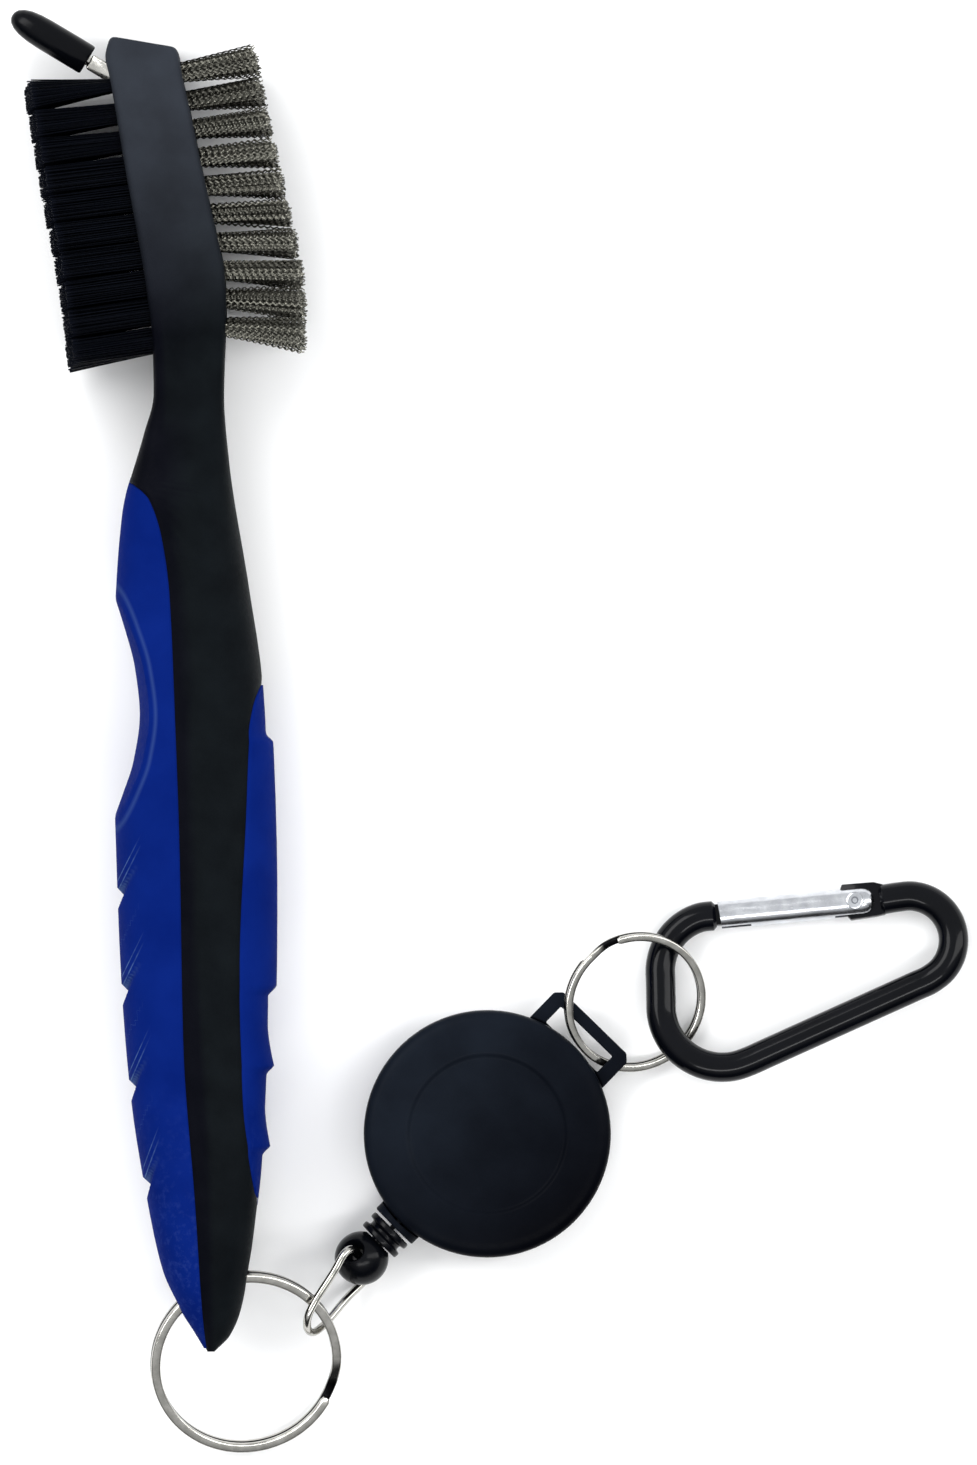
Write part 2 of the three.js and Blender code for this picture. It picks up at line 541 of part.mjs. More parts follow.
// ---------------------------------------------------------------- carabiner, gate along +X from the nose
const STOCK = 2.2; // radius of the carabiner's rod
const GATE_RADIUS = 2.15;
const HINGE_X = 21.2;
const LATCH_X = 3.6;
const LATCH_RADIUS = 0.5;
const RIVET_RADIUS = 0.65;
const TONGUE_HALF = 0.8;
const buildCarabiner = () => {
  const route = new THREE.Path();
  route.moveTo(0.5, 0);
  route.absarc(-0.2, -8.2, 8.3, degrees(92), degrees(180), false);
  route.absarc(0.2, -13.6, 9.1, degrees(180), degrees(289), false);
  route.absarc(28.6, -6.4, 6.65, degrees(-71), degrees(92), false);
  route.lineTo(24.9, 0);
  const centreline = new THREE.CatmullRomCurve3(
    route.getSpacedPoints(36).map((p) => new THREE.Vector3(p.x, p.y, 0)),
  );
  const rod = swept(roundSection(STOCK, 8), centreline, 40);
  const hingeTongue = plate([
    [25.6, 2.2], [24.2, 2.7], [19.5, 2.75], [19.0, 1.6],
    [19.9, -2.0], [20.4, -2.6], [24.2, -2.4], [25.6, -2.2],
  ].reverse(), -TONGUE_HALF, TONGUE_HALF);
  const noseTongue = plate([
    [-0.6, -1.5], [2.8, -1.5], [2.8, 0.9], [4.4, 0.9], [4.4, -1.2], [5.2, -1.2], [5.2, 1.6], [-0.6, 1.6],
  ], -TONGUE_HALF, TONGUE_HALF);
  const rivetBore = pin(RIVET_RADIUS + GAP, 3, 12).translate(HINGE_X, 0, 0);
  const body = cut(join(rod, hingeTongue, noseTongue), rivetBore);

  const alongGate = (profile, sides) => turned(profile, sides).rotateY(Math.PI / 2);
  const room = TONGUE_HALF + GAP;
  const slot = (x0, x1) => plate([[x0, -3], [x1, -3], [x1, 3], [x0, 3]], -room, room);
  const tube = alongGate([[0, 1.0], [GATE_RADIUS, 1.0], [GATE_RADIUS, 22.5], [1.6, 23.7], [0, 24.2]], 16);
  const latchBore = pin(LATCH_RADIUS + 0.25, 3, 10).translate(LATCH_X, 0, 0);
  const springBore = bar(new THREE.Vector3(7, 0, 0), new THREE.Vector3(19, 0, 0), 1.15, 12);
  const gateTube = cut(tube, slot(0, 5.6), slot(18.1, 26), springBore, latchBore, rivetBore);
  const rivet = turned([
    [0, -2.6], [1.25, -2.6], [1.25, -2.3], [RIVET_RADIUS, -2.3],
    [RIVET_RADIUS, 2.3], [1.25, 2.3], [1.25, 2.6],
    [0, 2.6],
  ], 12).translate(HINGE_X, 0, 0);
  const latchPin = pin(LATCH_RADIUS, 1.6, 10).translate(LATCH_X, 0, 0);
  const plunger = alongGate([[0, 15.4], [0.8, 15.4], [0.8, 17.6], [0.3, 18.0], [0, 18.0]], 10);
  const coilSteps = 48; // eight to a turn
  const coil = new THREE.CatmullRomCurve3(Array.from({ length: coilSteps + 1 }, (_, i) => {
    const angle = (2 * Math.PI * i) / 8;
    return new THREE.Vector3(lerp(7.4, 15.0, i / coilSteps), 0.75 * Math.cos(angle), 0.75 * Math.sin(angle));
  }));
  const carabiner = group(
    named('carabiner_body', body, finish.enamel),
    named('gate_tube', gateTube, finish.gate),
    named('gate_rivet', rivet, finish.gate),
    named('gate_latch_pin', latchPin, finish.gate),
    named('gate_plunger', plunger, finish.gate),
    named('gate_spring', swept(roundSection(0.15, 3), coil, coilSteps), finish.spring),
  );
  carabiner.rotation.order = 'ZXY';
  carabiner.rotation.set(degrees(-8), 0, degrees(5.4));
  carabiner.position.set(32.7, -26.8, 2.76);
  return carabiner;
};

// ---------------------------------------------------------------- the whole object
const brush = group(...buildHandle(), ...buildTufts(), buildSpike());
brush.position.copy(TAIL);
const assembly = group(
  brush, buildHandleRing(), buildLink(), buildCordEnd(), buildReel(), buildReelRing(), buildCarabiner(),
);
assembly.position.set(0.1, -1.25, 0); // brings the middle of the whole object's footprint to the origin
const object = group(assembly);
object.name = 'club_groove_brush';
export default object;
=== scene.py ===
from math import cos, pi, radians, sin

import bmesh
import bpy
import numpy as np
from mathutils import Matrix, Vector


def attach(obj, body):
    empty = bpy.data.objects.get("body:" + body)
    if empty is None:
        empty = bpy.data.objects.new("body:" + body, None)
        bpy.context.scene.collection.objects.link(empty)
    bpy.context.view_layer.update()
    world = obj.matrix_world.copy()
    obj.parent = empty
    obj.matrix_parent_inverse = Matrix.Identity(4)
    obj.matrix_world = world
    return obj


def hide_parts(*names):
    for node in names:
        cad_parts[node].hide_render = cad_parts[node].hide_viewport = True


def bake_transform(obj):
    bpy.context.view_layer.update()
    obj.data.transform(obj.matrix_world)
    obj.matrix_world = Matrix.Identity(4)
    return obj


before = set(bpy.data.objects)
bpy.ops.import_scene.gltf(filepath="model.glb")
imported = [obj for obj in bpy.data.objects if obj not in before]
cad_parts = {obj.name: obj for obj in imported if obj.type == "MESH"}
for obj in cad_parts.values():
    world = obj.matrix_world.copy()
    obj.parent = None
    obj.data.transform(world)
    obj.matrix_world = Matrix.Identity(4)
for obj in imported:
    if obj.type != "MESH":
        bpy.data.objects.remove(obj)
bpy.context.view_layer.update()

# A club groove brush on a retractable reel, lying flat. Shapes are worked out in millimetres in the
# assembly's own frame, which is ORIGIN away from the row frame. Each mesh is then put into metres.
MM = 0.001
ORIGIN = Vector((0.1, -1.25, 0.0))
TAIL = Vector((-41.6, -91.2, 12.5))
BRUSH_FRAME = Matrix.Translation(TAIL)
RNG = np.random.default_rng(7)


def placed(name, data):
    """A new object, linked into the scene."""
    made = bpy.data.objects.new(name, data)
    bpy.context.collection.objects.link(made)
    return made


# ---- camera
VIEW_CENTRE = (-0.38, -0.88)
VIEW_HEIGHT = 216.8  # what the picture's height covers at VIEW_LEVEL
VIEW_LEVEL = 10.0
CAMERA_DISTANCE = 6000.0
SENSOR = 36.0


def make_camera():
    data = bpy.data.cameras.new("camera")
    data.sensor_width = SENSOR
    data.lens = SENSOR * CAMERA_DISTANCE / VIEW_HEIGHT
    data.clip_start = 0.05
    data.clip_end = 20
    camera = placed("camera", data)
    camera.location = (VIEW_CENTRE[0] * MM, VIEW_CENTRE[1] * MM, (VIEW_LEVEL + CAMERA_DISTANCE) * MM)
    bpy.context.scene.camera = camera


# ---- materials
def srgb(red, green, blue):
    def linear(value):
        value /= 255
        return value / 12.92 if value <= 0.04045 else ((value + 0.055) / 1.055) ** 2.4

    return (linear(red), linear(green), linear(blue), 1.0)


class Nodes:
    """A node tree being built. Texture scales are in cycles per metre."""

    def __init__(self, tree, place="Object"):
        self.tree = tree
        self.place = self.node("ShaderNodeTexCoord").outputs[place]

    def node(self, kind, inputs=None, **settings):
        made = self.tree.nodes.new(kind)
        for key, value in settings.items():
            setattr(made, key, value)
        for key, value in (inputs or {}).items():
            self.feed(made.inputs[key], value)
        return made

    def feed(self, socket, value):
        if isinstance(value, bpy.types.NodeSocket):
            self.tree.links.new(value, socket)
        else:
            socket.default_value = value

    def stretched(self, scale, turn=0.0):
        inputs = {"Scale": scale, "Rotation": (0, 0, turn), "Vector": self.place}
        return self.node("ShaderNodeMapping", inputs).outputs["Vector"]

    def noise(self, scale, detail=3.0, rough=0.5, place=None):
        inputs = {"Scale": scale, "Detail": detail, "Roughness": rough, "Vector": place or self.place}
        return self.node("ShaderNodeTexNoise", inputs).outputs["Fac"]

    def remap(self, value, low, high, new_low=0.0, new_high=1.0):
        inputs = {"Value": value, "From Min": low, "From Max": high, "To Min": new_low, "To Max": new_high}
        return self.node("ShaderNodeMapRange", inputs).outputs["Result"]

    def mottle(self, scale, detail, low=0.0, high=1.0):
        """Noise spread over most of a range."""
        return self.remap(self.noise(scale, detail), 0.3, 0.7, low, high)

    def maths(self, operation, a, b):
        return self.node("ShaderNodeMath", {0: a, 1: b}, operation=operation).outputs["Value"]

    def mix(self, share, a, b, kind="RGBA"):
        return self.node("ShaderNodeMix", {"Factor": share, "A": a, "B": b}, data_type=kind).outputs["Result"]

    def part(self, axis):
        return self.node("ShaderNodeSeparateXYZ", {"Vector": self.place}).outputs[axis]

    def stored(self, name):
        """A number kept at each point of the mesh."""
        return self.node("ShaderNodeAttribute", attribute_name=name).outputs["Fac"]

    def line(self, value, centre, half):
        """1 where the value is at the centre, falling to 0 half a line's width away."""
        distance = self.maths("ABSOLUTE", self.maths("SUBTRACT", value, centre), 0.0)
        return self.remap(distance, 0.0, half, 1.0, 0.0)


class Look(Nodes):
    """A procedural material on one Principled shader."""

    def __init__(self, name, roughness=0.5, metallic=0.0, specular=0.5, coat=0.0, coat_roughness=0.1):
        self.material = bpy.data.materials.new(name)
        self.material.use_nodes = True
        super().__init__(self.material.node_tree)
        self.shader = self.tree.nodes["Principled BSDF"]
        numbers = {
            "Roughness": roughness, "Metallic": metallic, "Specular IOR Level": specular,
            "Coat Weight": coat, "Coat Roughness": coat_roughness,
        }
        for key, value in numbers.items():
            self.shader.inputs[key].default_value = value

    def colour(self, value):
        self.feed(self.shader.inputs["Base Color"], value)

    def roughness(self, value):
        self.feed(self.shader.inputs["Roughness"], value)

    def bump(self, *layers):
        """Each layer is (height, depth in metres, strength)."""
        normal = None
        for height, depth, strength in layers:
            inputs = {"Distance": depth, "Strength": strength, "Height": height}
            if normal:
                inputs["Normal"] = normal
            normal = self.node("ShaderNodeBump", inputs).outputs["Normal"]
        self.feed(self.shader.inputs["Normal"], normal)


def moulded_plastic(name, dark, light, gloss, specular=0.3, grain=0.00003):
    """Black moulded plastic: fine spark-eroded grain and faint mottling."""
    look = Look(name, specular=specular)
    look.colour(look.mix(look.mottle(90, 5), dark, light))
    look.roughness(look.mottle(1500, 3, gloss - 0.05, gloss + 0.07))
    look.bump((look.noise(5200, 2), grain, 0.5), (look.noise(260, 2), 0.00006, 0.1))
    return look.material


def core_plastic():
    """The handle's black moulding. Its flat head is matt and paler than the gripped part. On the gripped part
    the front facet carries painted shade and the face behind the crease carries painted light.
    """
    look = Look("core_plastic", specular=0.02)
    mottle = look.mottle(160, 5)
    facet = look.stored("lit_facet_share")
    # painted shade on the gripped part's front facet and painted light behind its crease, standing in for how
    # light falls on the two faces
    before = look.mix(mottle, srgb(4, 5, 11), srgb(9, 10, 17))
    behind = look.mix(mottle, srgb(8, 11, 14), srgb(14, 18, 21))
    gripped = look.mix(facet, before, behind)
    head = look.mix(mottle, srgb(39, 42, 48), srgb(46, 50, 57))
    look.colour(look.mix(look.remap(look.part("Y"), 0.058, 0.092), gripped, head))
    look.roughness(look.mottle(1500, 3, 0.5, 0.62))
    look.bump((look.noise(4200, 3), 0.00004, 0.6), (look.noise(260, 2), 0.00006, 0.1))
    return look.material


def casing_plastic():
    """The reel's satin casing, with painted light towards its upper left and painted shade towards its lower
    right.
    """
    look = Look("reel_plastic", specular=0.014)
    # painted light and shade: the base colour runs from near-black at the lower right to paler at the upper
    # left
    across = look.maths("SUBTRACT", look.part("Y"), look.part("X"))
    mottle = look.mottle(140, 4)
    dark = look.mix(mottle, srgb(1, 1, 3), srgb(3, 3, 6))
    pale = look.mix(mottle, srgb(18, 22, 29), srgb(23, 28, 36))
    look.colour(look.mix(look.remap(across, -0.088, -0.036), dark, pale))
    look.roughness(look.mottle(1500, 3, 0.3, 0.4))
    look.bump((look.noise(5200, 2), 0.00002, 0.4))
    return look.material


def grip_rubber():
    """Soft blue grip: matt, slightly mottled, paler where it is dusty and worn towards the tail, with painted
    highlights on streaks above the grooves, in the grooves and along the thumb dish's wall.
    """
    look = Look("blue_grip", specular=0.008)
    body = look.mix(look.mottle(120, 4), srgb(4, 24, 93), srgb(7, 30, 104))
    low_end = look.remap(look.part("Y"), -0.052, -0.085)
    dust = look.maths("MULTIPLY", look.remap(look.noise(900, 6, 0.7), 0.5, 0.78), low_end)
    dusty = look.mix(look.maths("MULTIPLY", dust, 0.3), body, srgb(60, 82, 150))
    # painted highlights: thin pale streaks rising from the front edge above each groove
    above = look.stored("above_groove")
    streaks = look.maths("ADD", look.line(above, 0.7, 0.24), look.line(above, 2.1, 0.18))
    streaks = look.maths("MULTIPLY", streaks, look.stored("near_front"))
    streaks = look.maths("MULTIPLY", streaks, look.remap(look.noise(700, 2), 0.35, 0.6, 0.2, 0.6))
    # painted highlight: a thin pale arc along the thumb dish's wall
    dish = look.maths("MULTIPLY", look.line(look.stored("from_dish"), 0.8, 0.4), 0.13)
    grooves = look.maths("MULTIPLY", look.stored("groove_glint_share"), 0.5)
    painted_glints = look.maths("ADD", look.maths("ADD", streaks, dish), grooves)
    # the painted highlights lighten the blue towards a pale grey-blue
    look.colour(look.mix(look.maths("MINIMUM", painted_glints, 0.7), dusty, srgb(96, 128, 172)))
    look.roughness(look.mottle(1400, 4, 0.6, 0.74))
    look.bump((look.noise(4200, 3), 0.00004, 0.45), (look.noise(300, 2), 0.0002, 0.12))
    return look.material


def bristle(name, dark, light, roughness, metallic, tip):
    """Filaments: each strand has its own shade, and fine marks run along it."""
    look = Look(name, metallic=metallic, specular=0.03)
    strand = look.stored("strand")
    along = look.stored("along")
    body = look.mix(strand, dark, light)
    marks = look.remap(look.noise(2600, 2), 0.35, 0.75)
    marked = look.mix(look.maths("MULTIPLY", marks, 0.3), body, tip)
    look.colour(look.mix(look.remap(along, 0.9, 1.0, 0.0, 0.5), marked, tip))
    look.roughness(look.remap(marks, 0, 1, roughness - 0.06, roughness + 0.12))
    look.bump((look.noise(7000, 1), 0.00001, 0.3))
    return look.material


def plated_metal(name, dark, light, roughness, brushing=(1, 1, 1)):
    """Plated or polished metal: faint cloudiness, fine drawing lines and hairline scratches, with painted
    shade in the gap between a split ring's turns.
    """
    look = Look(name, metallic=1.0)
    cloud = look.mottle(500, 4)
    lines = look.noise(3000, 3, place=look.stretched(brushing))
    painted_gap_shade = look.stored("between_turns")
    # painted shade: near-black where a split ring's two turns meet
    look.colour(look.mix(painted_gap_shade, look.mix(cloud, dark, light), srgb(22, 22, 24)))
    look.roughness(look.remap(lines, 0.3, 0.7, roughness - 0.05, roughness + 0.08))
    scratches = look.remap(look.noise(2400, 1, place=look.stretched((1, 0.06, 1), 0.9)), 0.66, 0.8)
    look.bump((lines, 0.00001, 0.25), (scratches, 0.00001, 0.2))
    return look.material


def enamel():
    """Glossy black coating over metal, with a slight orange peel."""
    look = Look("black_enamel", specular=0.07, coat=0.12, coat_roughness=0.04)
    look.colour(look.mix(look.mottle(140, 3), srgb(3, 4, 7), srgb(6, 7, 12)))
    look.roughness(look.mottle(900, 3, 0.14, 0.22))
    look.bump((look.noise(700, 2), 0.00004, 0.1), (look.noise(3400, 2), 0.00001, 0.12))
    return look.material


def braided_cord():
    look = Look("cord_braid", specular=0.3)
    inputs = {"Scale": 900, "Vector": look.place}
    wave = look.node("ShaderNodeTexWave", inputs, wave_type="BANDS", bands_direction="DIAGONAL")
    weave = wave.outputs["Fac"]
    look.colour(look.mix(weave, srgb(14, 15, 19), srgb(38, 40, 46)))
    look.roughness(look.mottle(2500, 2, 0.6, 0.8))
    look.bump((weave, 0.00006, 0.6))
    return look.material


def pale_plastic():
    look = Look("spool_plastic", specular=0.4)
    look.colour(look.mix(look.mottle(200, 4), srgb(206, 206, 200), srgb(226, 226, 220)))
    look.roughness(look.mottle(1500, 3, 0.4, 0.55))
    look.bump((look.noise(3600, 2), 0.00002, 0.4))
    return look.material


def floor_material():
    look = Look("pale_floor", roughness=0.9, specular=0.1)
    look.colour(look.mix(look.mottle(12, 2), srgb(250, 250, 250), srgb(252, 252, 252)))
    return look.material


# ---- mesh helpers
def millimetres(matrix=None):
    """The matrix that takes a piece's own millimetres to the row frame in metres."""
    return Matrix.Scale(MM, 4) @ Matrix.Translation(ORIGIN) @ (matrix or Matrix.Identity(4))


def new_mesh(name, vertices, faces):
    mesh = bpy.data.meshes.new(name)
    mesh.from_pydata([tuple(v) for v in np.asarray(vertices, float).reshape(-1, 3).tolist()], [], faces)
    return mesh


def new_object(name, vertices, faces, place=None, sharp=radians(38)):
    mesh = new_mesh(name, vertices, faces)
    cleaned = bmesh.new()
    cleaned.from_mesh(mesh)
    bmesh.ops.remove_doubles(cleaned, verts=cleaned.verts, dist=1e-5)
    bmesh.ops.dissolve_degenerate(cleaned, edges=cleaned.edges, dist=1e-6)
    bmesh.ops.recalc_face_normals(cleaned, faces=cleaned.faces)
    cleaned.to_mesh(mesh)
    cleaned.free()
    mesh.transform(millimetres(place))
    made = placed(name, mesh)
    smooth(made, sharp)
    return made


def smooth(target, sharp=radians(38)):
    target.data.shade_smooth()
    target.data.set_sharp_from_angle(angle=sharp)


def freeze(target):
    """Turns a piece's modifiers into its mesh."""
    bpy.context.view_layer.update()
    evaluated = target.evaluated_get(bpy.context.evaluated_depsgraph_get())
    mesh = bpy.data.meshes.new_from_object(evaluated)
    target.modifiers.clear()
    target.data = mesh
    smooth(target)


def boolean(target, others, operation="DIFFERENCE"):
    for other in others:
        step = target.modifiers.new(operation.lower(), "BOOLEAN")
        step.operation = operation
        step.solver = "EXACT"
        step.object = other
    freeze(target)
    for other in others:
        bpy.data.objects.remove(other)
    return target


def bevel(target, width, segments=3, angle=radians(35)):
    step = target.modifiers.new("bevel", "BEVEL")
    step.width = width * MM
    step.segments = segments
    step.limit_method = "ANGLE"
    step.angle_limit = angle
    step.harden_normals = False
    freeze(target)
    return target


def band(here, sides):
    """The faces between a ring of points, the first of them numbered here, and the ring after it."""
    neighbours = [(here + i, here + (i + 1) % sides) for i in range(sides)]
    return [(i, j, j + sides, i + sides) for i, j in neighbours]


def loft(rings):
    """Vertices and faces of a skin over closed rings of equal count, capped at both ends."""
    rings = np.asarray(rings, float)
    count, sides = rings.shape[:2]
    ends = [rings[0].mean(0), rings[-1].mean(0)]
    vertices = np.concatenate([rings.reshape(-1, 3), ends])
    faces = []
    for ring in range(count - 1):
        faces += band(ring * sides, sides)
    first, last = count * sides, count * sides + 1
    base = (count - 1) * sides
    for i in range(sides):
        j = (i + 1) % sides
        faces.append((first, j, i))
        faces.append((last, base + i, base + j))
    return vertices, faces


def turned(profile, segments=64):
    """A solid of revolution about Z from a closed profile of (radius, height) points."""
    count = len(profile)
    vertices, faces = [], []
    for step in range(segments):
        angle = 2 * pi * step / segments
        vertices += [(r * cos(angle), r * sin(angle), h) for r, h in profile]
    for step in range(segments):
        here, there = step * count, ((step + 1) % segments) * count
        for i in range(count):
            j = (i + 1) % count
            if profile[i][0] > 1e-9 or profile[j][0] > 1e-9:
                faces.append((here + i, there + i, there + j, here + j))
    return vertices, faces


def rounded(profile, radius=0.25, steps=4):
    """A closed profile with each corner turned into a short curve. A corner on the axis stays."""
    result = []
    count = len(profile)
    for i in range(count):
        before, here, after = (Vector(profile[(i + k) % count]) for k in (-1, 0, 1))
        back, ahead = before - here, after - here
        reach = min(radius, back.length * 0.45, ahead.length * 0.45)
        if here.x < 1e-6 or reach < 1e-4:
            result.append(tuple(here))
            continue
        start, end = here + back.normalized() * reach, here + ahead.normalized() * reach
        for k in range(steps + 1):
            t = k / steps
            point = start * (1 - t) ** 2 + here * 2 * t * (1 - t) + end * t ** 2
            result.append(tuple(point))
    return result


def plate(outline, z0, z1):
    """An outline in XY between two heights."""
    count = len(outline)
    vertices = [(x, y, z0) for x, y in outline] + [(x, y, z1) for x, y in outline]
    faces = [tuple(range(count))[::-1], tuple(range(count, 2 * count))]
    return vertices, faces + band(0, count)


def rectangle(x0, y0, x1, y1):
    return [(x0, y0), (x1, y0), (x1, y1), (x0, y1)]


def cylinder(name, radius, low, high, place, segments=24):
    return new_object(name, *turned(rectangle(0, low, radius, high), segments), place)


def arc(cx, cy, radius, start, end, steps):
    angles = [radians(start + (end - start) * k / steps) for k in range(steps + 1)]
    return [(cx + radius * cos(a), cy + radius * sin(a)) for a in angles]


def lengths_along(points):
    """How far along a polyline each of its points is."""
    return np.concatenate([[0], np.cumsum(np.linalg.norm(np.diff(points, axis=0), axis=1))])


def resampled(points, count):
    """Points spread evenly along a polyline."""
    points = np.asarray(points, float)
    lengths = lengths_along(points)
    spots = np.linspace(0, lengths[-1], count)
    return np.stack([np.interp(spots, lengths, points[:, k]) for k in range(points.shape[1])], 1)


def between(t, start, end, a, b):
    """The value at t on the straight line from a at the start to b at the end."""
    return (end - t) / (end - start) * a + (t - start) / (end - start) * b


def spline(points, per_span=12):
    """A centripetal Catmull-Rom curve through the points."""
    points = np.asarray(points, float)
    padded = np.concatenate([[2 * points[0] - points[1]], points, [2 * points[-1] - points[-2]]])
    result = []
    for i in range(1, len(padded) - 2):
        p0, p1, p2, p3 = padded[i - 1:i + 3]
        gaps = [max(np.linalg.norm(b - a), 1e-9) ** 0.5 for a, b in ((p0, p1), (p1, p2), (p2, p3))]
        t0, t1, t2, t3 = np.cumsum([0.0, *gaps])
        for t in np.linspace(t1, t2, per_span, endpoint=False):
            a1 = between(t, t0, t1, p0, p1)
            a2 = between(t, t1, t2, p1, p2)
            a3 = between(t, t2, t3, p2, p3)
            b1 = between(t, t0, t2, a1, a2)
            b2 = between(t, t1, t3, a2, a3)
            result.append(between(t, t1, t2, b1, b2))
    result.append(points[-1])
    return np.array(result)


def quarter_round(share):
    """1 at the edge of a rounded corner, falling to 0 along a quarter circle."""
    return 1 - np.sqrt(1 - (1 - share) ** 2)


def tube(path, radius, sides=16, round_ends=0.0):
    """Rings of a round bar along a path, with its frame carried along without twist."""
    path = np.asarray(path, float)
    tangents = np.gradient(path, axis=0)
    tangents /= np.linalg.norm(tangents, axis=1)[:, None]
    side = np.cross(tangents[0], [0.0, 0.0, 1.0])
    if np.linalg.norm(side) < 1e-3:
        side = np.cross(tangents[0], [0.0, 1.0, 0.0])
    radii = np.full(len(path), float(radius))
    if round_ends:
        distance = lengths_along(path)
        from_end = np.minimum(distance, distance[-1] - distance)
        bend = np.clip(from_end / round_ends, 0, 1)
        radii = radius - round_ends * quarter_round(bend)
    angles = 2 * np.pi * np.arange(sides) / sides
    rings = []
    for point, tangent, size in zip(path, tangents, radii):
        side = side - tangent * np.dot(side, tangent)
        side /= np.linalg.norm(side)
        other = np.cross(tangent, side)
        rings.append(point + size * (np.outer(np.cos(angles), side) + np.outer(np.sin(angles), other)))
    return rings


def dress(target, look):
    target.data.materials.clear()
    target.data.materials.append(look)


def finish_piece(target, look, body, slot, *nodes):
    dress(target, look)
    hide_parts(*nodes)
    if body:
        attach(target, body)
    return target


ALONG_X = Matrix.Rotation(pi / 2, 4, "Y")  # takes a turned profile's axis from Z to X

# ---- handle surface
GRIP_HALF = 12.3
HEAD_HALF = 11.2
GROOVES = (24.6, 39.0, 53.2, 67.4)
LIPS = (30.3, 42.2)
END_RADIUS = 0.6
HANDLE_LENGTH = 194.4
FRONT_SEAM_TOP = 129.6
BACK_SEAM_LOW, BACK_SEAM_TOP = 21, 99.9
GRIP_PROUD = 0.07


def smooth_line(points):
    """A monotone cubic through (position, value) points, as a function of arrays."""
    places, values = np.array(points, float).T
    gaps = np.diff(places)
    slopes = np.diff(values) / gaps
    product = slopes[:-1] * slopes[1:]
    total = slopes[:-1] + slopes[1:]
    inner = np.where(product > 0, 2 * product / np.where(product > 0, total, 1), 0)
    tangents = np.concatenate([slopes[:1], inner, slopes[-1:]])

    def at(position):
        position = np.clip(position, places[0], places[-1])
        i = np.clip(np.searchsorted(places, position) - 1, 0, len(gaps) - 1)
        t = (position - places[i]) / gaps[i]
        return (values[i] * (1 + 2 * t) * (1 - t) ** 2 + tangents[i] * gaps[i] * t * (1 - t) ** 2
                + values[i + 1] * t * t * (3 - 2 * t) + tangents[i + 1] * gaps[i] * t * t * (t - 1))

    return at


def smoothstep(value, low, high):
    t = np.clip((value - low) / (high - low), 0, 1)
    return t * t * (3 - 2 * t)


front_line = smooth_line([
    (0, -0.6), (3, -2.4), (6.2, -4.4), (12.4, -7.1), (22.4, -9.3), (36.6, -11.6), (51, -12.9), (64.9, -13.6),
    (77, -14.0), (94, -14.6), (111.2, -14.0), (123.9, -13.0), (135.5, -9.9), (141.6, -8.4), (148, -8.5),
    (156.6, -9.4), (175, -12.6), (188.5, -14.9), (191.3, -15.5), (193, -15.2), (HANDLE_LENGTH, -14.7),
])
back_line = smooth_line([
    (0, 0.6), (2.4, 2.9), (6.2, 4.5), (13.1, 5.8), (20, 6.7), (27.4, 7.5), (36, 8.0), (47.3, 8.4), (60, 8.5),
    (80, 8.4), (92, 8.1), (99.9, 7.6), (113, 5.7), (132.1, 2.7), (141.3, 2.0), (154.7, 2.4), (160, 2.1),
    (164.2, 1.2), (177.4, -1.7), (190.2, -4.2), (193.2, -4.6), (HANDLE_LENGTH, -5.0),
])
finger_pad = smooth_line([
    (52.7, 0), (54.3, 1.25), (70, 1.35), (84, 1.15), (90.1, 1.05), (91.3, 0.1), (91.8, 0),
])
half_width = smooth_line([
    (0, 1.6), (4, 5.2), (10, 8.6), (20, 11.0), (36, GRIP_HALF),
    (80, GRIP_HALF), (95, 11.6), (115, 10.6), (130, 8.2),
    (141, 6.6), (148, 8.0), (155, 10.4), (161, HEAD_HALF), (191, HEAD_HALF), (HANDLE_LENGTH, HEAD_HALF - 0.2),
])
thumb_dish = smooth_line([
    (74, -16.4), (79, -14.2), (82.5, -12.9), (87.5, -11.3),
    (94.2, -10.4), (101, -11.1), (107.5, -12.8), (111.2, -14.0),
    (116, -16),
])
front_seam = smooth_line([
    (-1, -0.5), (6, -1.1), (22, -2.1), (45, -3.8), (75, -4.4),
    (92, -5.0), (112, -5.9), (120, -7.0), (126, -9.0),
    (FRONT_SEAM_TOP, -13.6),
])
back_seam = smooth_line([
    (BACK_SEAM_LOW, 8.2), (23.5, 6.7), (38, 4.8), (57, 4.3), (79, 5.2),
    (91.2, 5.7), (95.4, 6.4), (98.8, 7.7), (BACK_SEAM_TOP, 8.3),
])
crease = smooth_line([(0, -0.2), (25, -0.6), (60, -2.6), (100, -3.9), (128, -6.4), (140, -7.2)])


def section_middle(y):
    """The middle of each section across the brush, and its reach to either side."""
    return (front_line(y) + back_line(y)) / 2, (back_line(y) - front_line(y)) / 2


def section_power(y):
    """The superellipse exponent of each section: a rounded grip and a nearly square head."""
    return 2 / (3 + 9 * smoothstep(y, 120, 160))


def lip_relief(y):
    """How far the lips below the finger pad stand out: a long rise from above, and a short drop below."""
    total = np.zeros_like(y)
    for lip in LIPS:
        rise = np.clip(1 - np.where(y > lip, (y - lip) / 6.0, (lip - y) / 1.3), 0, 1)
        total = total + 1.1 * rise ** 1.5
    return total


def groove_share(from_front, y):
    """How deep a point lies in the chevron grooves: 0 outside them, 1 at their deepest."""
    chevron = y - 1.5 * from_front
    width = 0.4 + 0.8 * np.clip(1 - from_front / 1.8, 0, 1)
    total = np.zeros_like(from_front)
    for groove in GROOVES:
        flank = np.where(chevron > groove, (chevron - groove) / width, (groove - chevron) / (1.6 * width))
        total = total + np.clip(1 - flank, 0, 1)
    return total * np.clip(1 - from_front / 3.2, 0, 1) ** 1.3


